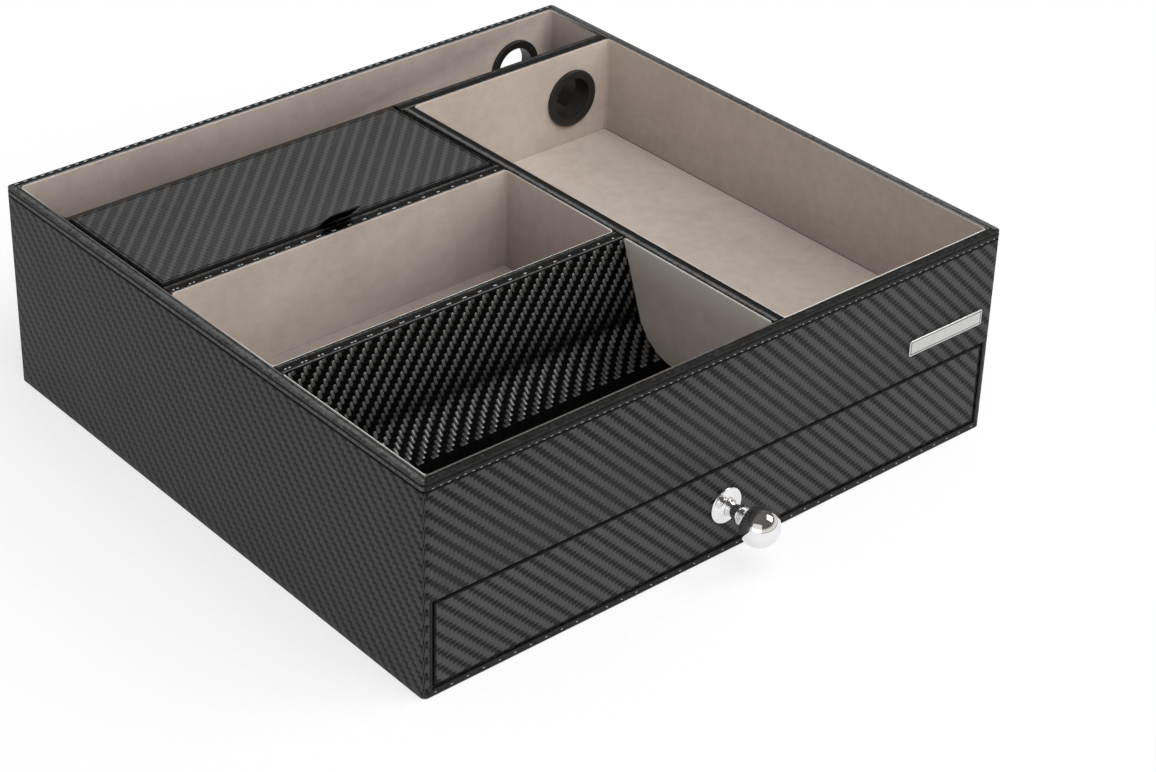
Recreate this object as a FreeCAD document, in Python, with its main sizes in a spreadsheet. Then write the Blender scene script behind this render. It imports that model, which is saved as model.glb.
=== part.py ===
"""Desktop valet tray with open bays, a lidded bay, a coin ramp and a full-width drawer.

The case is thin board, covered outside with carbon-look leather and inside with suede lining.
Frame: +X to the right, +Y to the back, +Z up. The origin is the centre of the case's underside.
"""

import FreeCAD
import Part
import Sketcher
import math
import os

SIZES = {
    # The case
    "case_width": 279.0,
    "case_depth": 264.0,
    "case_height": 89.0,
    "corner_radius": 2.0,
    "leather": 0.7,
    "lining": 0.7,
    "felt": 0.5,
    "felt_inset": 1.2,
    "wall_board": 3.0,
    "base_board": 3.0,
    "deck_board": 4.0,
    "divider_board": 5.0,
    "binding_drop": 3.6,
    # The bays, as clear widths and depths between linings
    "right_bay_width": 106.3,
    "rear_slot_depth": 32.2,
    "lid_bay_depth": 60.5,
    "open_bay_depth": 63.5,
    # The lid and what it rests on
    "lid_board": 3.0,
    "lid_side_gap": 0.8,
    "lid_front_gap": 1.4,
    "lid_rear_inset": 1.0,
    "lid_drop": 0.3,
    "lid_seat_gap": 0.2,
    "ledge_board": 3.0,
    "hinge_strip": 0.6,
    "hinge_strip_drop": 18.0,
    "hinge_strip_gap": 0.4,
    "tab_width": 14.0,
    "tab_thickness": 1.0,
    "tab_reach": 12.6,
    "tab_angle": 50.0,
    "tab_rise": 0.8,
    # The coin ramp
    "ramp_angle": 20.0,
    "ramp_radius": 22.0,
    "ramp_toe": 4.0,
    # The cable grommets
    "cable_bore": 18.6,
    "grommet_tube": 1.2,
    "grommet_fit": 0.2,
    "ring_fit": 0.05,
    "grommet_flange": 26.0,
    "grommet_flange_thickness": 1.5,
    "grommet_side_offset": 20.6,
    "grommet_rise": 21.1,
    # The badge
    "badge_width": 40.0,
    "badge_height": 6.7,
    "badge_thickness": 0.8,
    "badge_corner": 0.8,
    "badge_side_offset": 27.0,
    "badge_drop": 35.6,
    # The drawer
    "drawer_front_height": 35.0,
    "drawer_front_board": 4.0,
    "drawer_gap": 0.9,
    "drawer_side_gap": 1.0,
    "drawer_floor_gap": 0.3,
    "drawer_stop_gap": 0.3,
    "drawer_side_board": 3.0,
    "drawer_bottom_board": 2.5,
    "drawer_side_height": 29.0,
    # The knob and its screw
    "rosette_radius": 7.2,
    "rosette_rim": 1.0,
    "rosette_height": 2.6,
    "rosette_boss": 3.6,
    "neck_radius": 2.3,
    "neck_length": 6.6,
    "neck_foot": 1.0,
    "collar_radius": 3.6,
    "collar_width": 1.3,
    "ball_radius": 7.8,
    "screw_radius": 2.0,
    "screw_fit": 0.05,
    "screw_hole_fit": 0.1,
    "screw_depth": 12.0,
    "screw_head_radius": 4.0,
    "screw_head_height": 2.4,
    "washer_radius": 5.0,
    "washer_thickness": 0.8,
}

FULL_TURN = 360
QUARTER_TURN = 90


class Size:
    """A length: its value in millimetres, and the expression that binds a property to the sheet."""

    def __init__(self, value, text):
        self.value = value
        self.text = text

    def __add__(self, other):
        other = as_size(other)
        return Size(self.value + other.value, f"({self.text} + {other.text})")

    def __sub__(self, other):
        other = as_size(other)
        return Size(self.value - other.value, f"({self.text} - {other.text})")

    def __mul__(self, other):
        other = as_size(other)
        return Size(self.value * other.value, f"({self.text} * {other.text})")

    def __truediv__(self, other):
        other = as_size(other)
        return Size(self.value / other.value, f"({self.text} / {other.text})")

    def __neg__(self):
        return Size(-self.value, f"(0 - {self.text})")

    __radd__ = __add__


def as_size(number):
    """A plain number as a Size, and a Size as itself."""
    if isinstance(number, Size):
        return number
    return Size(float(number), str(number))


def size(name):
    """The driving dimension with this name."""
    return Size(SIZES[name], f"Sizes.{name}")


def sine(degrees):
    return Size(math.sin(math.radians(degrees.value)), f"sin({degrees.text} * 1 deg)")


def cosine(degrees):
    return Size(math.cos(math.radians(degrees.value)), f"cos({degrees.text} * 1 deg)")


def tangent(degrees):
    return Size(math.tan(math.radians(degrees.value)), f"tan({degrees.text} * 1 deg)")


def root(square):
    return Size(math.sqrt(square.value), f"sqrt({square.text})")


doc = FreeCAD.newDocument("ValetTray")
sheet = doc.addObject("Spreadsheet::Sheet", "Sizes")
for row, (alias, number) in enumerate(SIZES.items(), start=1):
    sheet.set(f"A{row}", alias)
    sheet.set(f"B{row}", str(number))
    sheet.setAlias(f"B{row}", alias)
doc.recompute()

pieces = {}


def keep(name, shape_object):
    """Names a finished piece, which makes it a node of the assembly."""
    shape_object.Label = name
    pieces[name] = shape_object
    return shape_object


def bind(target, name, length):
    """Sets a property to a length and ties it to the sheet."""
    target.setExpression(name, length.text)


def place(target, x=None, y=None, z=None):
    for axis, length in (("x", x), ("y", y), ("z", z)):
        if length is not None:
            bind(target, f"Placement.Base.{axis}", length)


def block(name, x, y, z):
    """A rectangular board between the two limits given for each axis."""
    board = doc.addObject("Part::Box", name)
    bind(board, "Length", x[1] - x[0])
    bind(board, "Width", y[1] - y[0])
    bind(board, "Height", z[1] - z[0])
    place(board, x[0], y[0], z[0])
    return board


def rod_along_y(name, x, z, y, radius):
    """A cylinder along Y between the two limits given for y."""
    rod = doc.addObject("Part::Cylinder", name)
    bind(rod, "Radius", radius)
    bind(rod, "Height", y[1] - y[0])
    rod.Placement.Rotation = FreeCAD.Rotation(FreeCAD.Vector(1, 0, 0), -QUARTER_TURN)
    place(rod, x, y[0], z)
    return rod


def cut(name, base, *tools):
    """The base with each tool taken away."""
    for number, tool in enumerate(tools, start=1):
        result = doc.addObject("Part::Cut", f"{name}_cut_{number}")
        result.Base = base
        result.Tool = tool
        base = result
    return base


def fuse(name, *solids):
    joined = doc.addObject("Part::MultiFuse", f"{name}_fuse")
    joined.Shapes = list(solids)
    joined.Refine = True
    return joined


def origin_plane(body, role):
    for feature in body.Origin.OriginFeatures:
        if feature.Role == role:
            return feature
    raise ValueError(f"no plane {role}")


def new_sketch(body, role):
    sketch = body.newObject("Sketcher::SketchObject", f"{body.Name}_sketch")
    sketch.AttachmentSupport = (origin_plane(body, role), [""])
    sketch.MapMode = "FlatFace"
    return sketch


def bind_point(sketch, curve, end, point):
    """Ties one end of a sketch curve to a point whose coordinates are Sizes."""
    for kind, axis, length in (("DistanceX", -2, point[0]), ("DistanceY", -1, point[1])):
        if length.text == "0":
            sketch.addConstraint(Sketcher.Constraint("PointOnObject", curve, end, axis))
            continue
        number = sketch.addConstraint(Sketcher.Constraint(kind, -1, 1, curve, end, length.value))
        sketch.setExpression(f"Constraints[{number}]", length.text)


def arc_between(start, end, radius, turn):
    """The arc from start to end, turning left (+1) or right (-1), as a curve and its two end numbers."""
    half_x = (end[0].value - start[0].value) / 2
    half_y = (end[1].value - start[1].value) / 2
    half_chord = math.hypot(half_x, half_y)
    rise = math.sqrt(max(radius.value**2 - half_chord**2, 0.0))
    centre_x = start[0].value + half_x - turn * rise * half_y / half_chord
    centre_y = start[1].value + half_y + turn * rise * half_x / half_chord
    centre = FreeCAD.Vector(centre_x, centre_y, 0)
    first, last = (start, end) if turn > 0 else (end, start)
    angles = [math.atan2(p[1].value - centre_y, p[0].value - centre_x) for p in (first, last)]
    circle = Part.Circle(centre, FreeCAD.Vector(0, 0, 1), radius.value)
    ends = (1, 2) if turn > 0 else (2, 1)
    return Part.ArcOfCircle(circle, angles[0], angles[1]), ends


def outline(sketch, points, arcs=None):
    """A closed outline through points. arcs maps a point's number to the (radius, turn) after it."""
    arcs = arcs or {}
    curves = []
    for number, start in enumerate(points):
        end = points[(number + 1) % len(points)]
        if number in arcs:
            radius, turn = arcs[number]
            curve, ends = arc_between(start, end, radius, turn)
            index = sketch.addGeometry(curve, False)
            radius_number = sketch.addConstraint(Sketcher.Constraint("Radius", index, radius.value))
            sketch.setExpression(f"Constraints[{radius_number}]", radius.text)
        else:
            corners = [FreeCAD.Vector(p[0].value, p[1].value, 0) for p in (start, end)]
            index = sketch.addGeometry(Part.LineSegment(*corners), False)
            ends = (1, 2)
        curves.append((index, ends))
    for number, (index, ends) in enumerate(curves):
        following, following_ends = curves[(number + 1) % len(curves)]
        sketch.addConstraint(
            Sketcher.Constraint("Coincident", index, ends[1], following, following_ends[0])
        )
    for number, (index, ends) in enumerate(curves):
        bind_point(sketch, index, ends[0], points[number])


def rectangle(x, y):
    """Corner points of a rectangle, anticlockwise."""
    return [(x[0], y[0]), (x[1], y[0]), (x[1], y[1]), (x[0], y[1])]


def rounded_rectangle(x, y, radius):
    """Points and arcs of a rectangle with round corners, anticlockwise."""
    points = [
        (x[0] + radius, y[0]),
        (x[1] - radius, y[0]),
        (x[1], y[0] + radius),
        (x[1], y[1] - radius),
        (x[1] - radius, y[1]),
        (x[0] + radius, y[1]),
        (x[0], y[1] - radius),
        (x[0], y[0] + radius),
    ]
    arcs = {number: (radius, 1) for number in (1, 3, 5, 7)}
    return points, arcs


def pad_body(name, outlines, bottom, height):
    """A body padded up from a height, from outlines in plan: pairs of points and arcs."""
    body = doc.addObject("PartDesign::Body", name)
    sketch = new_sketch(body, "XY_Plane")
    for points, arcs in outlines:
        outline(sketch, points, arcs)
    pad = body.newObject("PartDesign::Pad", f"{name}_pad")
    pad.Profile = sketch
    bind(pad, "Length", height)
    place(body, z=bottom)
    return body


def side_profile_body(name, points, arcs, x):
    """A body with a profile in the YZ plane, padded along X between two limits."""
    body = doc.addObject("PartDesign::Body", name)
    sketch = new_sketch(body, "YZ_Plane")
    outline(sketch, points, arcs)
    pad = body.newObject("PartDesign::Pad", f"{name}_pad")
    pad.Profile = sketch
    bind(pad, "Length", x[1] - x[0])
    place(body, x=x[0])
    return body


def turned_body(name, points, arcs, x, y, z):
    """A body turned about its own Y axis, from points of (radius, distance along Y)."""
    body = doc.addObject("PartDesign::Body", name)
    sketch = new_sketch(body, "XY_Plane")
    outline(sketch, points, arcs)
    turned = body.newObject("PartDesign::Revolution", f"{name}_turned")
    turned.Profile = sketch
    turned.ReferenceAxis = (sketch, ["V_Axis"])
    turned.Angle = FULL_TURN
    place(body, x, y, z)
    return body


def lining_ring(name, x, y, z):
    """Lining on the four walls of a bay: x and y are the board faces it is glued to."""
    inner_x = (x[0] + lining, x[1] - lining)
    inner_y = (y[0] + lining, y[1] - lining)
    rings = [(rectangle(x, y), None), (rectangle(inner_x, inner_y), None)]
    return pad_body(name, rings, z[0], z[1] - z[0])


zero = as_size(0)
leather = size("leather")
lining = size("lining")

# Levels across the width
side_x = size("case_width") / 2
side_board_x = side_x - leather
cavity_x = side_board_x - size("wall_board")
bay_x = cavity_x - lining
mid_right_x = bay_x - size("right_bay_width")
mid_board_right_x = mid_right_x - lining
mid_board_left_x = mid_board_right_x - size("divider_board")
mid_left_x = mid_board_left_x - lining

# Levels from front to back
face_y = size("case_depth") / 2
outer_board_y = face_y - leather
cavity_y = outer_board_y - size("wall_board")
bay_y = cavity_y - lining
divider = size("divider_board") + lining * 2
rear_divider_back_y = bay_y - size("rear_slot_depth")
rear_divider_front_y = rear_divider_back_y - divider
lid_divider_back_y = rear_divider_front_y - size("lid_bay_depth")
lid_divider_front_y = lid_divider_back_y - divider
coin_divider_back_y = lid_divider_front_y - size("open_bay_depth")
coin_divider_front_y = coin_divider_back_y - divider

# Levels in height
base_bottom_z = size("felt")
base_top_z = base_bottom_z + size("base_board")
drawer_front_bottom_z = base_top_z + size("drawer_gap")
drawer_front_top_z = drawer_front_bottom_z + size("drawer_front_height")
opening_top_z = drawer_front_top_z + size("drawer_gap")
deck_bottom_z = opening_top_z + leather
deck_top_z = deck_bottom_z + size("deck_board")
floor_z = deck_top_z + lining
rim_z = size("case_height")
board_top_z = rim_z - leather
binding_bottom_z = rim_z - size("binding_drop")

# The lid's own levels
lid_top_z = rim_z - size("lid_drop")
lid_board_top_z = lid_top_z - leather
lid_board_bottom_z = lid_board_top_z - size("lid_board")
lid_bottom_z = lid_board_bottom_z - lining
seat_z = lid_bottom_z - size("lid_seat_gap")
seat_board_z = seat_z - lining
lid_x = (-bay_x + size("lid_side_gap"), mid_left_x - size("lid_side_gap"))
lid_y = (
    lid_divider_back_y + size("lid_front_gap"),
    rear_divider_back_y - size("lid_rear_inset"),
)

# The cable grommets' place
grommet_x = bay_x - size("grommet_side_offset")
grommet_z = floor_z + size("grommet_rise")
grommet_tube_radius = size("cable_bore") / 2 + size("grommet_tube")
grommet_hole_radius = grommet_tube_radius + size("grommet_fit")

knob_z = (drawer_front_bottom_z + drawer_front_top_z) / 2


def grommet_drill(name, y):
    """The cylinder that opens a grommet's hole through a wall or its covering."""
    return rod_along_y(f"{name}_drill", grommet_x, grommet_z, y, grommet_hole_radius)


def build_case_boards():
    """The glued board carcass: base, walls, front panel, deck and dividers."""
    wall_z = (base_bottom_z, board_top_z)
    base_z = (base_bottom_z, base_top_z)
    deck_z = (deck_bottom_z, deck_top_z)
    tray_z = (deck_top_z, board_top_z)
    between_walls = (-cavity_x, cavity_x)
    keep(
        "base_board",
        block("base_board_box", between_walls, (-outer_board_y, cavity_y), base_z),
    )
    bend = size("corner_radius") - leather
    left_outline = [
        (-cavity_x, -outer_board_y),
        (-cavity_x, outer_board_y),
        (-side_board_x + bend, outer_board_y),
        (-side_board_x, outer_board_y - bend),
        (-side_board_x, -outer_board_y + bend),
        (-side_board_x + bend, -outer_board_y),
    ]
    right_outline = [(-x, -y) for x, y in left_outline]
    wall_height = wall_z[1] - wall_z[0]
    for name, points in (
        ("left_wall_board", left_outline),
        ("right_wall_board", right_outline),
    ):
        corners = {2: (bend, 1), 4: (bend, 1)}
        keep(name, pad_body(f"{name}_body", [(points, corners)], wall_z[0], wall_height))
    back_y = (cavity_y, outer_board_y)
    back = block("back_wall_board_box", between_walls, back_y, wall_z)
    keep(
        "back_wall_board",
        cut("back_wall_board", back, grommet_drill("back_wall_board", back_y)),
    )
    front_z = (deck_bottom_z, board_top_z)
    front_y = (-outer_board_y, -cavity_y)
    keep("front_panel_board", block("front_panel_board_box", between_walls, front_y, front_z))
    keep("deck_board", block("deck_board_box", between_walls, (-cavity_y, cavity_y), deck_z))
    mid_y = (-cavity_y, rear_divider_front_y + lining)
    mid_x = (mid_board_left_x, mid_board_right_x)
    keep("mid_divider_board", block("mid_divider_board_box", mid_x, mid_y, tray_z))
    left_bays = (-cavity_x, mid_board_left_x)
    for name, front, back in (
        ("lid_divider_board", lid_divider_front_y, lid_divider_back_y),
        ("coin_divider_board", coin_divider_front_y, coin_divider_back_y),
    ):
        keep(name, block(f"{name}_box", left_bays, (front + lining, back - lining), tray_z))
    rear_y = (rear_divider_front_y + lining, rear_divider_back_y - lining)
    rear = block("rear_divider_board_box", between_walls, rear_y, tray_z)
    notch = block("rear_divider_notch", left_bays, rear_y, (seat_board_z, board_top_z))
    drill = grommet_drill("rear_divider_board", rear_y)
    keep("rear_divider_board", cut("rear_divider_board", rear, notch, drill))


def build_case_covers():
    """The felt underneath, the leather round the outside and the bindings along the rims."""
    radius = size("corner_radius")
    inset = size("felt_inset")
    felt_x = (-side_x + inset, side_x - inset)
    felt_y = (-face_y + inset, face_y - inset)
    felt_outline = rounded_rectangle(felt_x, felt_y, radius)
    keep("base_felt", pad_body("base_felt_body", [felt_outline], zero, size("felt")))

    outside = rounded_rectangle((-side_x, side_x), (-face_y, face_y), radius)
    board_outline = rounded_rectangle(
        (-side_board_x, side_board_x), (-outer_board_y, outer_board_y), radius - leather
    )
    wrap = pad_body(
        "outer_wrap_body",
        [outside, board_outline],
        base_bottom_z,
        binding_bottom_z - base_bottom_z,
    )
    doorway = block(
        "drawer_doorway",
        (-cavity_x, cavity_x),
        (-face_y, -outer_board_y),
        (base_top_z, opening_top_z),
    )
    back_hole = grommet_drill("outer_wrap", (outer_board_y, face_y))
    fold = block(
        "front_panel_fold",
        (-cavity_x, cavity_x),
        (-outer_board_y, -cavity_y),
        (opening_top_z, deck_bottom_z),
    )
    opened = cut("outer_leather_wrap", wrap, doorway, back_hole)
    keep("outer_leather_wrap", fuse("outer_leather_wrap", opened, fold))

    bay_outline = (rectangle((-bay_x, bay_x), (-bay_y, bay_y)), None)
    leg = pad_body(
        "rim_leg_body",
        [outside, board_outline],
        binding_bottom_z,
        board_top_z - binding_bottom_z,
    )
    top = pad_body("rim_top_body", [outside, bay_outline], board_top_z, leather)
    keep("rim_binding", fuse("rim_binding", leg, top))

    cap_z = (board_top_z, rim_z)
    mid_x = (mid_left_x, mid_right_x)
    left_x = (-bay_x, mid_left_x)
    for name, x, y in (
        ("mid_divider_binding", mid_x, (-bay_y, rear_divider_front_y)),
        ("rear_divider_binding", (mid_left_x, bay_x), (rear_divider_front_y, rear_divider_back_y)),
        ("lid_divider_binding", left_x, (lid_divider_front_y, lid_divider_back_y)),
        ("coin_divider_binding", left_x, (coin_divider_front_y, coin_divider_back_y)),
    ):
        keep(name, block(f"{name}_box", x, y, cap_z))


def build_linings():
    """Suede on the walls and the floor of each bay."""
    wall_z = (floor_z, board_top_z)
    pad_z = (deck_top_z, floor_z)
    left_bays = (-cavity_x, mid_board_left_x)
    right_bay = (mid_board_right_x, cavity_x)

    rear_x = (-cavity_x, cavity_x)
    rear_y = (rear_divider_back_y - lining, cavity_y)
    rear_ring = lining_ring("rear_slot_lining_body", rear_x, rear_y, wall_z)
    lid_relief = block(
        "rear_lining_relief",
        (-bay_x, mid_left_x),
        (rear_y[0], rear_divider_back_y),
        (seat_board_z, board_top_z),
    )
    rear_holes = grommet_drill("rear_slot_wall_lining", rear_y)
    keep("rear_slot_wall_lining", cut("rear_slot_wall_lining", rear_ring, lid_relief, rear_holes))
    keep("rear_slot_floor_lining", block("rear_slot_floor_box", rear_x, rear_y, pad_z))

    right_y = (-cavity_y, rear_divider_front_y + lining)
    right_ring = lining_ring("right_bay_lining_body", right_bay, right_y, wall_z)
    right_hole = grommet_drill("right_bay_wall_lining", (rear_divider_front_y, right_y[1]))
    keep("right_bay_wall_lining", cut("right_bay_wall_lining", right_ring, right_hole))
    keep("right_bay_floor_lining", block("right_bay_floor_box", right_bay, right_y, pad_z))

    open_y = (coin_divider_back_y - lining, lid_divider_front_y + lining)
    keep("open_bay_wall_lining", lining_ring("open_bay_lining_body", left_bays, open_y, wall_z))
    keep("open_bay_floor_lining", block("open_bay_floor_box", left_bays, open_y, pad_z))

    coin_back_y = coin_divider_front_y + lining
    coin_points = [
        (-cavity_x, -cavity_y),
        (mid_board_left_x, -cavity_y),
        (mid_board_left_x, coin_back_y),
        (mid_left_x, coin_back_y),
        (mid_left_x, -bay_y),
        (-bay_x, -bay_y),
        (-bay_x, coin_back_y),
        (-cavity_x, coin_back_y),
    ]
    coin_height = board_top_z - deck_top_z
    coin_lining = pad_body("coin_lining_body", [(coin_points, None)], deck_top_z, coin_height)
    keep("coin_bay_wall_lining", coin_lining)


def build_lid_seat():
    """The ledges that the lid rests on, the bay's lining over them and the leather round the recess."""
    ledge = size("ledge_board")
    left_x = (-cavity_x, -cavity_x + ledge)
    right_x = (mid_board_left_x - ledge, mid_board_left_x)
    front_y = (lid_divider_back_y - lining, lid_divider_back_y - lining + ledge)
    back_y = rear_divider_front_y + lining
    ledge_z = (deck_top_z, seat_board_z)
    keep("lid_ledge_left", block("lid_ledge_left_box", left_x, (front_y[0], back_y), ledge_z))
    keep("lid_ledge_right", block("lid_ledge_right_box", right_x, (front_y[0], back_y), ledge_z))
    inner_x = (left_x[1], right_x[0])
    keep("lid_ledge_front", block("lid_ledge_front_box", inner_x, front_y, ledge_z))

    bay = (front_y[1], back_y)
    ring = lining_ring("lid_bay_lining_body", inner_x, bay, (floor_z, seat_board_z))
    seat_x = (-cavity_x, mid_board_left_x)
    seat_y = (front_y[0], rear_divider_back_y - lining)
    hole = rectangle(
        (inner_x[0] + lining, inner_x[1] - lining), (bay[0] + lining, bay[1] - lining)
    )
    seat = pad_body(
        "lid_seat_body",
        [(rectangle(seat_x, seat_y), None), (hole, None)],
        seat_board_z,
        lining,
    )
    keep("lid_bay_wall_lining", fuse("lid_bay_wall_lining", ring, seat))
    floor = block("lid_bay_floor_box", inner_x, bay, (deck_top_z, floor_z))
    keep("lid_bay_floor_lining", floor)

    band_points = [
        (seat_x[0], seat_y[1]),
        (seat_x[0], seat_y[0]),
        (seat_x[1], seat_y[0]),
        (seat_x[1], seat_y[1]),
        (mid_left_x, seat_y[1]),
        (mid_left_x, lid_divider_back_y),
        (-bay_x, lid_divider_back_y),
        (-bay_x, seat_y[1]),
    ]
    band = pad_body("lid_recess_body", [(band_points, None)], seat_z, board_top_z - seat_z)
    keep("lid_recess_band", band)


def build_coin_ramp():
    """A block with a concave face below the coin divider's front edge, and the leather over it."""
    lean = size("ramp_angle")
    radius = size("ramp_radius")
    x = (-bay_x, mid_left_x)
    foot_y = coin_divider_front_y - (board_top_z - floor_z) * tangent(lean)
    bend_reach = radius * tangent((as_size(QUARTER_TURN) - lean) / 2)
    centre_y = foot_y - bend_reach
    centre_z = floor_z + radius

    def bend_start(offset):
        return (
            centre_y + (radius + offset) * cosine(lean),
            centre_z - (radius + offset) * sine(lean),
        )

    under_top_y = coin_divider_front_y + leather / cosine(lean)
    back_y = coin_divider_front_y + lining
    under_radius = radius + leather
    toe = size("ramp_toe")
    toe_z = centre_z - root(under_radius * under_radius - toe * toe)
    top_z = board_top_z - (under_top_y - back_y) / tangent(lean)
    start = bend_start(leather)
    block_points = [
        (back_y, deck_top_z),
        (back_y, top_z),
        start,
        (centre_y + toe, toe_z),
        (centre_y + toe, deck_top_z),
    ]
    ramp = side_profile_body("coin_ramp_block_body", block_points, {2: (under_radius, -1)}, x)
    keep("coin_ramp_block", ramp)

    leather_points = [
        (coin_divider_front_y, board_top_z),
        bend_start(zero),
        (centre_y, floor_z),
        (-bay_y, floor_z),
        (-bay_y, deck_top_z),
        (centre_y, deck_top_z),
        start,
        (back_y, top_z),
        (back_y, board_top_z),
    ]
    arcs = {1: (radius, -1), 5: (under_radius, 1)}
    cover = side_profile_body("coin_ramp_leather_body", leather_points, arcs, x)
    keep("coin_ramp_leather", cover)


def build_grommet(name, front_y, back_y):
    """A flanged bush through a wall from its front face, and the ring that locks it behind."""
    bore = size("cable_bore") / 2
    flange = size("grommet_flange") / 2
    thickness = size("grommet_flange_thickness")
    depth = back_y - front_y
    bush_points = [
        (bore, -thickness),
        (flange, -thickness),
        (flange, zero),
        (grommet_tube_radius, zero),
        (grommet_tube_radius, depth + thickness),
        (bore, depth + thickness),
    ]
    bush = turned_body(f"{name}_bush_body", bush_points, None, grommet_x, front_y, grommet_z)
    keep(f"{name}_bush", bush)
    ring_bore = grommet_tube_radius + size("ring_fit")
    ring_points = rectangle((ring_bore, flange), (zero, thickness))
    ring = turned_body(f"{name}_ring_body", ring_points, None, grommet_x, back_y, grommet_z)
    keep(f"{name}_ring", ring)


def build_badge():
    """A plain metal plate on the front panel's leather."""
    body = doc.addObject("PartDesign::Body", "badge_plate_body")
    sketch = new_sketch(body, "XZ_Plane")
    half_width = size("badge_width") / 2
    half_height = size("badge_height") / 2
    points, arcs = rounded_rectangle(
        (-half_width, half_width), (-half_height, half_height), size("badge_corner")
    )
    outline(sketch, points, arcs)
    pad = body.newObject("PartDesign::Pad", "badge_plate_pad")
    pad.Profile = sketch
    bind(pad, "Length", size("badge_thickness"))
    place(body, side_x - size("badge_side_offset"), -face_y, rim_z - size("badge_drop"))
    keep("badge_plate", body)


def build_lid():
    """The lid's board, its leather and lining, the pull tab and the leather hinge strip."""
    board_x = (lid_x[0] + leather, lid_x[1] - leather)
    board_y = (lid_y[0] + leather, lid_y[1] - leather)
    keep(
        "lid_board",
        block("lid_board_box", board_x, board_y, (lid_board_bottom_z, lid_board_top_z)),
    )
    cover = block("lid_cover_box", lid_x, lid_y, (lid_board_bottom_z, lid_top_z))
    room = block("lid_cover_room", board_x, board_y, (lid_board_bottom_z, lid_board_top_z))
    keep("lid_leather", cut("lid_leather", cover, room))
    keep(
        "lid_lining",
        block("lid_lining_box", lid_x, lid_y, (lid_bottom_z, lid_board_bottom_z)),
    )
    strip_y = (rear_divider_back_y, rear_divider_back_y + size("hinge_strip"))
    strip_top = seat_board_z - size("hinge_strip_gap")
    strip_z = (strip_top - size("hinge_strip_drop"), strip_top)
    keep("lid_hinge_strip", block("lid_hinge_strip_box", lid_x, strip_y, strip_z))

    lean = size("tab_angle")
    thickness = size("tab_thickness")
    reach = size("tab_reach")
    fold = thickness * tangent(lean / 2)
    bend_z = rim_z + size("tab_rise")
    front = (lid_y[0] - thickness, bend_z - fold)
    tip_front = (front[0] - reach * sine(lean), front[1] + reach * cosine(lean))
    tip_back = (tip_front[0] + thickness * cosine(lean), tip_front[1] + thickness * sine(lean))
    tab_points = [
        (lid_y[0], lid_bottom_z),
        (lid_y[0], bend_z),
        tip_back,
        tip_front,
        front,
        (lid_y[0] - thickness, lid_bottom_z),
    ]
    middle = (lid_x[0] + lid_x[1]) / 2
    half = size("tab_width") / 2
    tab = side_profile_body("lid_tab_body", tab_points, None, (middle - half, middle + half))
    keep("lid_pull_tab", tab)


def build_drawer():
    """The drawer's front, box and lining. It slides on the base board and stops at the back wall."""
    outer_x = cavity_x - size("drawer_side_gap")
    side = size("drawer_side_board")
    inner_x = outer_x - side
    bottom_z = base_top_z + size("drawer_floor_gap")
    floor_top_z = bottom_z + size("drawer_bottom_board")
    side_top_z = floor_top_z + size("drawer_side_height")
    front_x = cavity_x - size("drawer_gap")
    board_back_y = -outer_board_y + size("drawer_front_board")
    back_y = cavity_y - size("drawer_stop_gap")
    screw_hole = size("screw_radius") + size("screw_hole_fit")

    board = block(
        "drawer_front_box",
        (-front_x + leather, front_x - leather),
        (-outer_board_y, board_back_y),
        (drawer_front_bottom_z + leather, drawer_front_top_z - leather),
    )
    board_drill = rod_along_y(
        "drawer_front_drill", zero, knob_z, (-outer_board_y, board_back_y), screw_hole
    )
    keep("drawer_front_board", cut("drawer_front_board", board, board_drill))
    cover = block(
        "drawer_cover_box",
        (-front_x, front_x),
        (-face_y, board_back_y),
        (drawer_front_bottom_z, drawer_front_top_z),
    )
    room = block(
        "drawer_cover_room",
        (-front_x + leather, front_x - leather),
        (-outer_board_y, board_back_y),
        (drawer_front_bottom_z + leather, drawer_front_top_z - leather),
    )
    cover_drill = rod_along_y(
        "drawer_cover_drill", zero, knob_z, (-face_y, -outer_board_y), screw_hole
    )
    keep("drawer_front_leather", cut("drawer_front_leather", cover, room, cover_drill))

    side_z = (floor_top_z, side_top_z)
    box_y = (board_back_y, back_y)
    for name, x in (
        ("drawer_left_side", (-outer_x, -inner_x)),
        ("drawer_right_side", (inner_x, outer_x)),
    ):
        keep(name, block(f"{name}_box", x, box_y, side_z))
    back = block("drawer_back_box", (-inner_x, inner_x), (back_y - side, back_y), side_z)
    keep("drawer_back_board", back)
    bottom_box = block("drawer_bottom_box", (-outer_x, outer_x), box_y, (bottom_z, floor_top_z))
    keep("drawer_bottom_board", bottom_box)

    inside_y = (board_back_y, back_y - side)
    lining_floor_z = floor_top_z + lining
    inside_x = (-inner_x, inner_x)
    ring = lining_ring("drawer_lining_body", inside_x, inside_y, (lining_floor_z, side_top_z))
    lining_drill = rod_along_y(
        "drawer_lining_drill", zero, knob_z, (board_back_y, board_back_y + lining), screw_hole
    )
    keep("drawer_wall_lining", cut("drawer_wall_lining", ring, lining_drill))
    keep(
        "drawer_floor_lining",
        block("drawer_floor_box", inside_x, inside_y, (floor_top_z, lining_floor_z)),
    )
    build_knob(board_back_y + lining)


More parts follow.
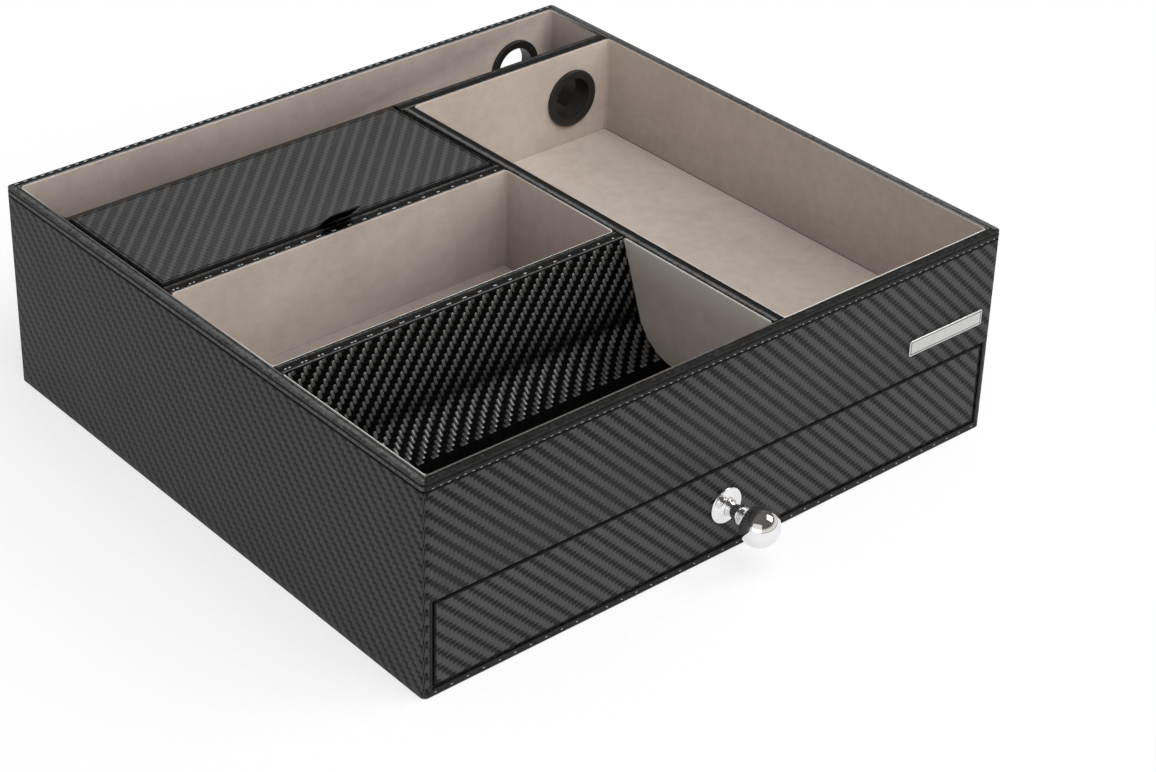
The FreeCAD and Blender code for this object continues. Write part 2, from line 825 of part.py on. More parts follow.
def build_knob(inner_face_y):
    """The rosette, the ball with its neck, and the screw and washer that hold them from inside."""
    screw = size("screw_radius")
    hole = screw + size("screw_fit")
    rim = size("rosette_rim")
    height = size("rosette_height")
    rosette_radius = size("rosette_radius")
    boss = size("rosette_boss")
    flare = rosette_radius - boss
    rosette_points = [
        (hole, zero),
        (hole, -height),
        (boss, -height),
        (rosette_radius, -rim),
        (rosette_radius, zero),
    ]
    rosette = turned_body(
        "rosette_body", rosette_points, {2: (flare, 1)}, zero, -face_y, knob_z
    )
    keep("knob_rosette", rosette)

    neck = size("neck_radius")
    collar_y = height + size("neck_length")
    collar = size("collar_radius")
    ball = size("ball_radius")
    collar_end_y = collar_y + size("collar_width")
    ball_centre_y = collar_end_y + root(ball * ball - neck * neck)
    blind_y = height + size("screw_depth")
    foot = (boss + neck) / 2
    knob_points = [
        (hole, -height),
        (hole, -blind_y),
        (zero, -blind_y - screw),
        (zero, -ball_centre_y - ball),
        (neck, -collar_end_y),
        (collar, -collar_end_y),
        (collar, -collar_y),
        (neck, -collar_y),
        (neck, -height - size("neck_foot")),
        (foot, -height),
    ]
    knob = turned_body("knob_body", knob_points, {3: (ball, 1)}, zero, -face_y, knob_z)
    keep("knob_ball", knob)

    washer = size("washer_thickness")
    washer_points = rectangle((hole, size("washer_radius")), (zero, washer))
    keep(
        "knob_washer",
        turned_body("washer_body", washer_points, None, zero, inner_face_y, knob_z),
    )
    tip_y = inner_face_y + face_y + blind_y
    head = size("screw_head_radius")
    screw_points = [
        (zero, -tip_y),
        (screw, -tip_y),
        (screw, washer),
        (head, washer),
        (head, washer + size("screw_head_height")),
        (zero, washer + size("screw_head_height")),
    ]
    keep(
        "knob_screw",
        turned_body("screw_body", screw_points, None, zero, inner_face_y, knob_z),
    )


def check_document():
    """Stops on any object that failed to build and on any piece without a sound shape."""
    for item in doc.Objects:
        if "Invalid" in item.State or "Error" in item.State:
            raise RuntimeError(f"{item.Label} did not build: {item.State}")
    for name, piece in pieces.items():
        if piece.Shape.isNull() or not piece.Shape.isValid():
            raise RuntimeError(f"{name} has no sound shape")


build_case_boards()
build_case_covers()
build_linings()
build_lid_seat()
build_coin_ramp()
build_grommet("back_grommet", bay_y, face_y)
build_grommet("divider_grommet", rear_divider_front_y, rear_divider_back_y)
build_badge()
build_lid()
build_drawer()
doc.recompute()
check_document()

os.makedirs("parts", exist_ok=True)
for name, piece in pieces.items():
    piece.Shape.exportStep(os.path.join("parts", f"{name}.step"))
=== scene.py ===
"""A valet tray with a drawer, dressed over the frame that was packed from its CAD source."""
import logging
import math
from dataclasses import dataclass
from enum import Enum
from typing import Callable, Iterable, Sequence

import bmesh
import bpy
from mathutils import Euler, Matrix, Quaternion, Vector


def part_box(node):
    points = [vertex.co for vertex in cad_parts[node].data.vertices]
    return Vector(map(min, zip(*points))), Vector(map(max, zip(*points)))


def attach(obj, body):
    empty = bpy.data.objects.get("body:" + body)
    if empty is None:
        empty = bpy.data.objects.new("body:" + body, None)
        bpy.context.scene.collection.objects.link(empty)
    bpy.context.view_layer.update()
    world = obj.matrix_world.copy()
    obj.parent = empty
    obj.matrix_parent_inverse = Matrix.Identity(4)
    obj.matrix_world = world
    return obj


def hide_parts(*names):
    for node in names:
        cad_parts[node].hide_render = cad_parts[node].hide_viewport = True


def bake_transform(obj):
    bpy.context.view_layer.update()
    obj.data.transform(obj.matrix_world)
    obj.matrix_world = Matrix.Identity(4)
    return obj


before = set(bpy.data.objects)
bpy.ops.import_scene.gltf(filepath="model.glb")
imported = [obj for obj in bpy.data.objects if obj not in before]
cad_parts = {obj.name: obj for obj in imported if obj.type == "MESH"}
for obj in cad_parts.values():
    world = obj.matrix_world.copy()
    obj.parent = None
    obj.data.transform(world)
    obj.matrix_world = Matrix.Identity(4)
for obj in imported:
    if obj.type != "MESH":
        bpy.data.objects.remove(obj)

MM = 0.001
WEAVE_MAP = "weave"
# The mark attribute holds painted light and shade on each point: below 0 painted shade, above 0 painted
# highlight.
PAINTED_LIGHT_LAYER = "mark"
Colour = tuple[float, float, float, float]
Pair = tuple[float, float]

log = logging.getLogger("valet_tray")


class Body(Enum):
    """The bodies that move against each other."""

    CASE = "case"
    LID = "lid"
    DRAWER = "drawer"


class Facing(Enum):
    """Which way a swept outline looks, and so how its plane lies in the frame."""

    UP = "up"
    FRONT = "front"

    def place(self, across: float, along: float, depth: float) -> Vector:
        """Gives the point of the frame for a point of the outline's own plane.

        Args:
            across: The outline's first direction.
            along: The outline's second direction.
            depth: How far the point stands out of the outline's plane.

        Returns:
            The point in the frame.
        """
        if self is Facing.UP:
            return Vector((across, along, depth))
        return Vector((across, -depth, along))


class Ends(Enum):
    """What becomes of the first and the last ring of a row of rings."""

    OPEN = "open"
    JOINED = "joined"
    FILLED = "filled"


def grey(level: float, warmth: float = 0.0) -> Colour:
    """Gives a linear grey, a little warmer or cooler by warmth."""
    return (level * (1 + warmth), level, level * (1 - warmth), 1.0)


def sign(operation: str, swapped: bool = False) -> Callable[..., "Signal"]:
    """Gives the method behind an arithmetic sign.

    Args:
        operation: The Math node's operation.
        swapped: Whether the signal stands after the sign.

    Returns:
        The method, for a signal and another signal or a number.
    """

    def method(signal: "Signal", other: "Signal | float") -> "Signal":
        """Runs one Math node on the two."""
        values = (other, signal) if swapped else (signal, other)
        return signal.apply(operation, *values)

    return method


class Signal:
    """A number that varies over a surface, held as a node's socket, for use in Python sums."""

    def __init__(self, graph: "Graph", socket: bpy.types.NodeSocket) -> None:
        """Wraps a socket of the graph's tree."""
        self.graph = graph
        self.socket = socket

    __add__ = sign("ADD")
    __radd__ = sign("ADD", True)
    __sub__ = sign("SUBTRACT")
    __rsub__ = sign("SUBTRACT", True)
    __mul__ = sign("MULTIPLY")
    __rmul__ = sign("MULTIPLY", True)
    __truediv__ = sign("DIVIDE")
    __rtruediv__ = sign("DIVIDE", True)
    __mod__ = sign("FLOORED_MODULO")
    __pow__ = sign("POWER")

    def __abs__(self) -> "Signal":
        """Gives the size without its sign."""
        return self.apply("ABSOLUTE", self)

    def apply(self, operation: str, *values: "Signal | float") -> "Signal":
        """Runs one Math node.

        Args:
            operation: The Math node's operation.
            *values: Its inputs in order.

        Returns:
            The node's result.
        """
        inputs = dict(enumerate(values))
        return self.graph.signal("ShaderNodeMath", {"operation": operation}, inputs)

    def floor(self) -> "Signal":
        """Gives the whole number below."""
        return self.apply("FLOOR", self)

    def sine(self) -> "Signal":
        """Gives the sine."""
        return self.apply("SINE", self)

    def below(self, limit: "Signal | float") -> "Signal":
        """Gives 1 below the limit and 0 above it."""
        return self.apply("LESS_THAN", self, limit)

    def choose(self, chosen: "Signal | float", other: "Signal | float") -> "Signal":
        """Gives chosen where this is 1 and other where it is 0."""
        return self * chosen + (1 - self) * other

    def between(self, low: float, high: float) -> "Signal":
        """Gives 0 at low and 1 at high, smoothly between, and holds outside them.

        Args:
            low: Where the result starts to rise.
            high: Where it reaches 1.

        Returns:
            The smooth step.
        """
        values = {"Value": self, "From Min": low, "From Max": high}
        settings = {"interpolation_type": "SMOOTHSTEP"}
        return self.graph.signal("ShaderNodeMapRange", settings, values)


class Graph:
    """A node tree under construction."""

    def __init__(self, tree: bpy.types.NodeTree) -> None:
        """Takes the tree that nodes are added to."""
        self.tree = tree

    def node(
        self,
        kind: str,
        settings: dict[str, object] | None = None,
        values: dict[str | int, object] | None = None,
    ) -> bpy.types.Node:
        """Adds a node.

        Args:
            kind: The node's type.
            settings: What is set on the node first; stops are a ramp's.
            values: Numbers, sockets or signals for its inputs, by name or place.

        Returns:
            The new node.
        """
        made = self.tree.nodes.new(kind)
        for key, setting in (settings or {}).items():
            if key == "stops":
                self.set_stops(made, setting)
            else:
                setattr(made, key, setting)
        for key, value in (values or {}).items():
            self.feed(made.inputs[key], value)
        return made

    def signal(self, *what: object) -> Signal:
        """Adds a node and gives its first output, for use in sums."""
        return Signal(self, self.node(*what).outputs[0])

    def feed(self, target: bpy.types.NodeSocket, value: object) -> None:
        """Links an input to a socket or signal, or sets it to a number or colour.

        Args:
            target: The input.
            value: What it gets.
        """
        source = value.socket if isinstance(value, Signal) else value
        if isinstance(source, bpy.types.NodeSocket):
            self.tree.links.new(source, target)
        else:
            target.default_value = source

    @staticmethod
    def set_stops(ramp: bpy.types.Node, stops: Sequence[tuple[float, Colour]]) -> None:
        """Sets a colour ramp's stops.

        Args:
            ramp: The ramp node.
            stops: Each stop's place and colour, in order.
        """
        elements = ramp.color_ramp.elements
        while len(elements) < len(stops):
            elements.new(1.0)
        for element, (place, colour) in zip(elements, stops):
            element.position = place
            element.color = colour


class Recipe(Graph):
    """A material under construction, with one Principled shader."""

    def __init__(self, name: str) -> None:
        """Starts an empty material.

        Args:
            name: The material's name.
        """
        self.material = bpy.data.materials.new(name)
        self.material.use_nodes = True
        super().__init__(self.material.node_tree)
        self.tree.nodes.clear()
        self.shader = self.node("ShaderNodeBsdfPrincipled")
        self.output = self.node("ShaderNodeOutputMaterial", values={0: self.shader.outputs[0]})

    def place(self) -> bpy.types.NodeSocket:
        """Gives the point on the object, in metres."""
        return self.node("ShaderNodeTexCoord").outputs["Object"]

    def weave(self) -> bpy.types.NodeSocket:
        """Gives the point on the laid-out leather, in metres."""
        return self.node("ShaderNodeUVMap", {"uv_map": WEAVE_MAP}).outputs[0]

    def split(self, vector: bpy.types.NodeSocket) -> list[Signal]:
        """Gives a vector's three numbers."""
        node = self.node("ShaderNodeSeparateXYZ", values={0: vector})
        return [Signal(self, output) for output in node.outputs]

    def mark(self) -> Signal:
        """Gives the painted light and shade on the mesh, from -1 for black painted shade over 0 to 1
        for a full painted highlight.
        """
        return Signal(self, self.node("ShaderNodeAttribute", {"attribute_name": PAINTED_LIGHT_LAYER}).outputs["Fac"])

    def twill(self, tow: float) -> tuple[Signal, Signal, Signal]:
        """Gives a two-over-two twill on the laid-out leather.

        Args:
            tow: The width of one tow.

        Returns:
            1 on the upright tows and 0 on the level ones, the place across a tow and the place
            along it, both 0 to 1.
        """
        across, along, _ = self.split(self.weave())
        columns = across / tow
        rows = along / tow
        column = columns.floor()
        row = rows.floor()
        in_column = columns - column
        in_row = rows - row
        step = (column + row) % 4
        upright = step.below(1.5)
        side = upright.choose(in_column, in_row)
        run = upright.choose(in_row + step, in_column + step - 2) / 2
        return upright, side, run

    def stretched(self, vector: bpy.types.NodeSocket, scale: Sequence[float]) -> bpy.types.NodeSocket:
        """Gives the vector with each direction multiplied by its own number."""
        settings = {"operation": "MULTIPLY"}
        return self.node("ShaderNodeVectorMath", settings, {0: vector, 1: scale}).outputs[0]

    def noise(self, vector: bpy.types.NodeSocket, size: float, detail: float = 2.0) -> Signal:
        """Gives soft random patches.

        Args:
            vector: Where on the surface.
            size: How large a patch is, in metres.
            detail: How much finer noise is added.

        Returns:
            The noise, about 0.5 on average.
        """
        values = {"Vector": vector, "Scale": 1 / size, "Detail": detail}
        return self.signal("ShaderNodeTexNoise", {}, values)

    def cells(self, vector: bpy.types.NodeSocket, size: float) -> Signal:
        """Gives the distance to the nearest of many scattered points, as in leather grain."""
        return self.signal("ShaderNodeTexVoronoi", {}, {"Vector": vector, "Scale": 1 / size})

    def ramp(self, amount: Signal, stops: Sequence[tuple[float, Colour]]) -> bpy.types.NodeSocket:
        """Gives the colour that a ramp has at amount."""
        return self.node("ShaderNodeValToRGB", {"stops": stops}, {0: amount}).outputs[0]

    def mix(self, amount: Signal, first: object, second: object) -> bpy.types.NodeSocket:
        """Gives a colour between two others.

        Args:
            amount: 0 for the first and 1 for the second.
            first: A colour or colour socket.
            second: A colour or colour socket.

        Returns:
            The mixed colour.
        """
        values = {0: amount, 6: first, 7: second}
        return self.node("ShaderNodeMix", {"data_type": "RGBA"}, values).outputs[2]

    def emboss(self, height: Signal, depth: float, strength: float = 1.0) -> None:
        """Raises the surface by height times depth, on top of what was embossed before.

        Args:
            height: The relief, 0 to 1.
            depth: How deep the relief is, in metres.
            strength: How much of it shows.
        """
        values = {"Height": height, "Distance": depth, "Strength": strength}
        before = self.shader.inputs["Normal"]
        if before.is_linked:
            values["Normal"] = before.links[0].from_socket
        bump = self.node("ShaderNodeBump", values=values)
        self.tree.links.new(bump.outputs[0], before)

    def dress(self, **sockets: object) -> bpy.types.Material:
        """Sets the shader's sockets, named with _ for a space, and gives the material.

        Args:
            **sockets: A number, colour, socket or signal for each.

        Returns:
            The finished material.
        """
        inputs = {socket.name.lower().replace(" ", "_"): socket for socket in self.shader.inputs}
        for name, value in sockets.items():
            self.feed(inputs[name], value)
        return self.material


@dataclass(frozen=True)
class Stuff:
    """What a surface is made of.

    Attributes:
        name: The material's name.
    """

    name: str

    def make(self) -> bpy.types.Material:
        """Makes the material."""
        raise NotImplementedError


@dataclass(frozen=True)
class CarbonTwill(Stuff):
    """Leather embossed with a two-over-two twill, like woven carbon tows, with how the tows catch the
    light painted into their colour.

    Attributes:
        bright: The colour of the upright tows, painted light where they catch the light.
        dim: The colour of the level tows in painted shade, and of black painted shade.
        roughness: How dull the tows are.
        tow: The width of one tow.
        relief: How far the tows stand up.
        ridges: How many fibre ridges a tow has.
        gloss: The strength of the reflections.
        level_shade: How much painted shade the level tows get.
        tooth_shade: How much more painted shade the middles of the level tows get.
        speckle: How strongly the fine grain shows.
        end_shade: How much painted shade the ends of all tows get.
    """

    bright: float
    dim: float
    roughness: float
    tow: float = 1.67 * MM
    relief: float = 0.06 * MM
    ridges: int = 5
    gloss: float = 0.16
    level_shade: float = 0.38
    tooth_shade: float = 0.72
    speckle: float = 1.1
    end_shade: float = 0.0

    def make(self) -> bpy.types.Material:
        """Makes the material.

        Returns:
            The material.
        """
        recipe = Recipe(self.name)
        upright, side, run = recipe.twill(self.tow)
        edge = abs(side * 2 - 1)
        end = abs(run * 2 - 1)
        body = (1 - edge**2.2) * (1 - end**4)
        ridge = (side * (2 * math.pi * self.ridges)).sine() * 0.5 + 0.5
        place = recipe.place()
        wear = recipe.noise(place, 30 * MM, 3)
        speckle = recipe.noise(place, 0.5 * MM, 3)
        recipe.emboss(body, self.relief)
        recipe.emboss(ridge * 0.6 + speckle * 0.4, self.relief * 0.3)
        level = 1 - upright
        tooth = level * (1 - end**2) * (1 - edge**4)
        # Painted light and shade of the weave: the upright tows lit, the level ones shaded with dark
        # teeth, and all tow ends darker.
        tone = 1 - level * self.level_shade - tooth * self.tooth_shade - end**2.5 * self.end_shade
        # Random speckle and wear, with painted light along the fibre ridges.
        grain = (speckle - 0.5) * self.speckle + (ridge - 0.5) * 0.12 + (wear - 0.5) * 0.3
        # The mark adds painted shade on top.
        return recipe.dress(
            base_color=recipe.mix(tone + grain + recipe.mark(), grey(self.dim), grey(self.bright)),
            roughness=self.roughness + (wear - 0.5) * 0.16 + (1 - body) * 0.1,
            specular_ior_level=self.gloss,
        )


@dataclass(frozen=True)
class GlossTwill(Stuff):
    """Glossy black leather whose twill is pressed deep; only the upright tows get a painted glint
    colour and mirror.

    Attributes:
        bead: The painted glint colour of the upright tows.
        ground: The colour of all the rest.
        tow: The width of one tow.
        relief: How far a tow stands up.
        metal: How much the upright tows mirror.
    """

    bead: float
    ground: float
    tow: float = 1.67 * MM
    relief: float = 0.35 * MM
    metal: float = 0.95

    def make(self) -> bpy.types.Material:
        """Makes the material.

        Returns:
            The material.
        """
        recipe = Recipe(self.name)
        upright, side, run = recipe.twill(self.tow)
        body = (1 - abs(side * 2 - 1) ** 2) * (1 - abs(run * 2 - 1) ** 3)
        recipe.emboss(body * (0.35 + 0.65 * upright), self.relief)
        # Painted glints on the upright tows, made stronger or weaker by the mesh's painted light and
        # shade.
        painted_glint = upright * body.between(0.1, 0.55) * (1 + recipe.mark())
        smudge = recipe.noise(recipe.place(), 14 * MM, 3)
        return recipe.dress(
            base_color=recipe.mix(painted_glint, grey(self.ground), grey(self.bead)),
            metallic=painted_glint * self.metal,
            roughness=0.62 - painted_glint * 0.2 + (smudge - 0.5) * 0.12,
            specular_ior_level=0.06,
        )


@dataclass(frozen=True)
class GrainLeather(Stuff):
    """Plain leather with a fine pebble grain.

    Attributes:
        base: The leather's colour.
        light_grain_and_highlight: The colour of the lightest grain and of painted highlights.
        grain: The size of a pebble.
        roughness: How dull it is.
        relief: How deep the grain is.
    """

    base: float
    light_grain_and_highlight: float
    grain: float = 0.5 * MM
    roughness: float = 0.5
    relief: float = 0.05 * MM

    def make(self) -> bpy.types.Material:
        """Makes the material.

        Returns:
            The material.
        """
        recipe = Recipe(self.name)
        place = recipe.place()
        pebble = recipe.cells(place, self.grain)
        crease = recipe.noise(place, 1.6 * MM, 4)
        patch = recipe.noise(place, 18 * MM, 3)
        recipe.emboss(pebble * 0.7 + crease * 0.5, self.relief)
        grain = (pebble - 0.45) * 0.45 + (crease - 0.5) * 0.9 + (patch - 0.5) * 0.25
        # The mark paints shade down to black and highlights up to the lightest colour.
        tone = 0.5 + recipe.mark() * 0.5 + grain
        stops = ((0.0, grey(0.001)), (0.5, grey(self.base)), (1.0, grey(self.light_grain_and_highlight)))
        return recipe.dress(
            base_color=recipe.ramp(tone, stops),
            roughness=self.roughness + (patch - 0.5) * 0.2,
            specular_ior_level=0.18,
        )


@dataclass(frozen=True)
class Suede(Stuff):
    """Short-napped suede cloth, brushed in soft patches.

    Attributes:
        light: The nap's light side.
        dark: The nap's dark side.
        edge: The colour of painted light, on the lit rolled top edges and the lighter tops of some
            walls.
        deep: The colour of painted shade, deep in a bay and in creases.
    """

    light: Colour
    dark: Colour
    edge: Colour = (0.76, 0.73, 0.69, 1)
    deep: Colour = (0.05, 0.041, 0.036, 1)

    def make(self) -> bpy.types.Material:
        """Makes the material.

        Returns:
            The material.
        """
        recipe = Recipe(self.name)
        place = recipe.place()
        mark = recipe.mark()
        brushed = recipe.noise(place, 38 * MM, 3)
        mottle = recipe.noise(place, 5 * MM, 4)
        streak = recipe.noise(recipe.stretched(place, (0.25, 0.25, 1.0)), 2.2 * MM, 3)
        nap = recipe.noise(place, 0.45 * MM, 2)
        tone = brushed * 0.34 + mottle * 0.3 + streak * 0.14 + nap * 0.22
        recipe.emboss(nap * 0.6 + mottle * 0.4, 0.12 * MM)
        cloth = recipe.mix(tone.between(0.36, 0.64), self.dark, self.light)
        # Painted shade towards the deep colour, then painted light towards the edge colour.
        shaded = recipe.mix(mark * -1, cloth, self.deep)
        return recipe.dress(
            base_color=recipe.mix(mark.between(0.2, 0.8), shaded, self.edge),
            roughness=0.9 + (nap - 0.5) * 0.12,
            specular_ior_level=0.12,
            sheen_weight=0.25,
            sheen_roughness=0.45,
        )


@dataclass(frozen=True)
class Fibreboard(Stuff):
    """Pressed board with fine chips.

    Attributes:
        light: The colour of the chips.
        dark: The colour between them.
    """

    light: Colour
    dark: Colour

    def make(self) -> bpy.types.Material:
        """Makes the material.

        Returns:
            The material.
        """
        recipe = Recipe(self.name)
        place = recipe.place()
        chip = recipe.noise(recipe.stretched(place, (1.0, 0.5, 2.0)), 1.1 * MM, 5)
        cloud = recipe.noise(place, 24 * MM, 3)
        recipe.emboss(chip, 0.06 * MM)
        tone = (chip * 0.7 + cloud * 0.3).between(0.35, 0.66)
        return recipe.dress(
            base_color=recipe.mix(tone, self.dark, self.light),
            roughness=0.82 + (cloud - 0.5) * 0.1,
            specular_ior_level=0.25,
        )


@dataclass(frozen=True)
class Felt(Stuff):
    """Short dense felt.

    Attributes:
        base: The felt's colour.
    """

    base: float

    def make(self) -> bpy.types.Material:
        """Makes the material.

        Returns:
            The material.
        """
        recipe = Recipe(self.name)
        place = recipe.place()
        fibre = recipe.noise(place, 0.5 * MM, 4)
        cloud = recipe.noise(place, 9 * MM, 3)
        recipe.emboss(fibre, 0.15 * MM)
        tone = (fibre * 0.6 + cloud * 0.4).between(0.3, 0.7)
        return recipe.dress(
            base_color=recipe.mix(tone, grey(self.base * 0.6), grey(self.base * 1.5)),
            roughness=0.93 + (fibre - 0.5) * 0.08,
            specular_ior_level=0.1,
        )


@dataclass(frozen=True)
class MouldedPlastic(Stuff):
    """Moulded plastic with a fine spark-eroded texture.

    Attributes:
        base: The plastic's colour.
        roughness: How dull it is.
    """

    base: float
    roughness: float

    def make(self) -> bpy.types.Material:
        """Makes the material.

        Returns:
            The material.
        """
        recipe = Recipe(self.name)
        place = recipe.place()
        spark = recipe.noise(place, 0.3 * MM, 3)
        scuff = recipe.noise(place, 4 * MM, 3)
        recipe.emboss(spark, 0.03 * MM)
        tone = scuff.between(0.3, 0.75)
        return recipe.dress(
            base_color=recipe.mix(tone, grey(self.base * 0.8), grey(self.base * 1.4)),
            roughness=self.roughness + (scuff - 0.5) * 0.2,
            specular_ior_level=0.45,
        )


@dataclass(frozen=True)
class Metal(Stuff):
    """Bare or plated metal, polished or brushed one way.

    Attributes:
        base: The metal's colour.
        roughness: How dull it is.
        brush: How each direction is stretched, so that the marks run the longest way.
        mark: The width of a brush mark.
        relief: How deep the marks are; none are pressed in at 0.
    """

    base: Colour
    roughness: float
    brush: tuple[float, float, float] = (1.0, 1.0, 1.0)
    mark: float = 0.2 * MM
    relief: float = 0.0

    def make(self) -> bpy.types.Material:
        """Makes the material.

        Returns:
            The material.
        """
        recipe = Recipe(self.name)
        place = recipe.place()
        mark = recipe.noise(recipe.stretched(place, self.brush), self.mark, 3)
        smear = recipe.noise(place, 6 * MM, 3)
        if self.relief:
            recipe.emboss(mark, self.relief)
        worn = tuple(channel * 0.86 for channel in self.base[:3]) + (1.0,)
        tone = recipe.mix((mark * 0.5 + smear * 0.5).between(0.3, 0.7), worn, self.base)
        # A dark mark is painted shade, as in the badge's groove.
        return recipe.dress(
            base_color=recipe.mix(recipe.mark() * -1, tone, grey(0.04)),
            roughness=self.roughness + (smear - 0.5) * self.roughness * 0.5,
            metallic=1.0,
        )


@dataclass(frozen=True)
class Thread(Stuff):
    """Sewing thread with twisted plies.

    Attributes:
        light: The colour painted on the lit side of a ply.
        dark: The painted shade in the groove between plies.
    """

    light: Colour
    dark: Colour

    def make(self) -> bpy.types.Material:
        """Makes the material.

        Returns:
            The material.
        """
        recipe = Recipe(self.name)
        place = recipe.place()
        x, y, z = recipe.split(place)
        ply = ((x + y + z) * (2 * math.pi / (0.5 * MM))).sine() * 0.5 + 0.5
        fuzz = recipe.noise(place, 0.3 * MM, 2)
        recipe.emboss(ply, 0.04 * MM)
        # The plies are painted light on one side and shaded in the grooves.
        return recipe.dress(
            base_color=recipe.mix(ply * 0.6 + fuzz * 0.4, self.dark, self.light),
            roughness=0.55 + (fuzz - 0.5) * 0.2,
            specular_ior_level=0.4,
        )


class Finish:
    """A material of the tray, with the slot of the record that it goes by."""

    def __init__(self, slot: str, stuff: Stuff) -> None:
        """Makes the material of a stuff for a slot."""
        self.slot = slot
        self.material = stuff.make()


class Finishes:
    """Every finish of the tray, made once; the first of a slot is also its CAD nodes'."""

    def __init__(self) -> None:
        """Makes the finishes."""
        twill = CarbonTwill("carbon_leather_twill", bright=0.055, dim=0.001, roughness=0.5)
        self.carbon = Finish("carbon_leather", twill)
        # A lighter copy of the same carbon leather for the lid's top, with its painted light and shade
        # set for how the light falls there.
        twill = CarbonTwill(
            "lid_leather_twill",
            bright=0.08,
            dim=0.004,
            roughness=0.48,
            level_shade=0.22,
            tooth_shade=0.3,
            speckle=0.8,
            end_shade=0.5,
        )
        self.lid_carbon = Finish("carbon_leather", twill)
        self.gloss = Finish("gloss_leather", GlossTwill("gloss_leather_twill", 0.2, 0.0006))
        # The edge leather's lighter colour is the painted highlight on folded edges and bands.
        self.edge = Finish("edge_leather", GrainLeather("edge_leather_grain", 0.016, 0.12))
        leather = GrainLeather("strap_leather_smooth", 0.003, 0.012, grain=0.35 * MM)
        self.strap = Finish("strap_leather", leather)
        cloth = Suede("suede_nap", light=(0.55, 0.472, 0.415, 1), dark=(0.46, 0.388, 0.337, 1))
        self.suede = Finish("suede_lining", cloth)
        board = Fibreboard("case_fibreboard", light=(0.5, 0.38, 0.26, 1), dark=(0.34, 0.25, 0.17, 1))
        self.case_board = Finish("case_board", board)
        wrap = GrainLeather("drawer_black_wrap", 0.02, 0.045, 0.7 * MM, 0.6, 0.03 * MM)
        self.drawer_board = Finish("drawer_board", wrap)
        self.felt = Finish("underside_felt", Felt("underside_felt_black", 0.03))
        plastic = MouldedPlastic("grommet_plastic_black", 0.012, 0.42)
        self.plastic = Finish("grommet_plastic", plastic)
        metal = Metal("knob_chrome_polished", (0.86, 0.86, 0.87, 1), 0.05)
        self.chrome = Finish("knob_chrome", metal)
        metal = Metal(
            "badge_satin_metal", (0.62, 0.62, 0.61, 1), 0.34, (0.04, 1, 1), 0.15 * MM, 0.002 * MM
        )
        self.badge = Finish("badge_metal", metal)
        metal = Metal("screw_plated_steel", (0.55, 0.55, 0.54, 1), 0.28)
        self.steel = Finish("screw_steel", metal)
        # Both threads are dark thread painted light grey so that it shows its glints; the first is the
        # brighter.
        self.thread = Finish("edge_leather", Thread("stitch_thread_light", grey(0.5), grey(0.16)))
        dull = Thread("stitch_thread_dull", grey(0.36), grey(0.08))
        self.dull_thread = Finish("edge_leather", dull)

    def by_slot(self) -> dict[str, bpy.types.Material]:
        """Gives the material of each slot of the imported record."""
        return {finish.slot: finish.material for finish in reversed(vars(self).values())}


@dataclass(frozen=True)
class Extent:
    """The box that a CAD node fills.

    Attributes:
        low: The lowest corner.
        high: The highest corner.
    """

    low: Vector
    high: Vector

    @classmethod
    def of(cls, node: str) -> "Extent":
        """Gives the box of a CAD node."""
        return cls(*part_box(node))

    def middle(self) -> Vector:
        """Gives the centre."""
        return (self.low + self.high) / 2


@dataclass(frozen=True)
class Outline:
    """A rounded rectangle that profiles are swept along.

    Attributes:
        low: The lower corner in the outline's plane.
        high: The upper corner.
        radius: The corner radius.
        steps: How many parts each corner has.
        stops: Extra points on the first side, by their first coordinate.
        notch: How deep a groove runs down the middle of each corner.
    """

    low: Pair
    high: Pair
    radius: float
    steps: int = 8
    stops: tuple[float, ...] = ()
    notch: float = 0.0

    def points(self, inset: float) -> list[Pair]:
        """Gives the outline moved inwards.

        Args:
            inset: How far it moves.

        Returns:
            The points, turning left, from the first side's stops on.
        """
        x = (self.low[0] + inset, self.high[0] - inset)
        y = (self.low[1] + inset, self.high[1] - inset)
        radius = max(self.radius - inset, 0.2 * MM)
        points = [(stop, y[0]) for stop in self.stops]
        centres = (
            (x[1] - radius, y[0] + radius),
            (x[1] - radius, y[1] - radius),
            (x[0] + radius, y[1] - radius),
            (x[0] + radius, y[0] + radius),
        )
        for corner, centre in enumerate(centres):
            for step in range(self.steps + 1):
                angle = math.pi / 2 * (corner - 1 + step / self.steps)
                reach = radius - (self.notch if step * 2 == self.steps else 0.0)
                points.append(
                    (centre[0] + reach * math.cos(angle), centre[1] + reach * math.sin(angle))
                )
        return points


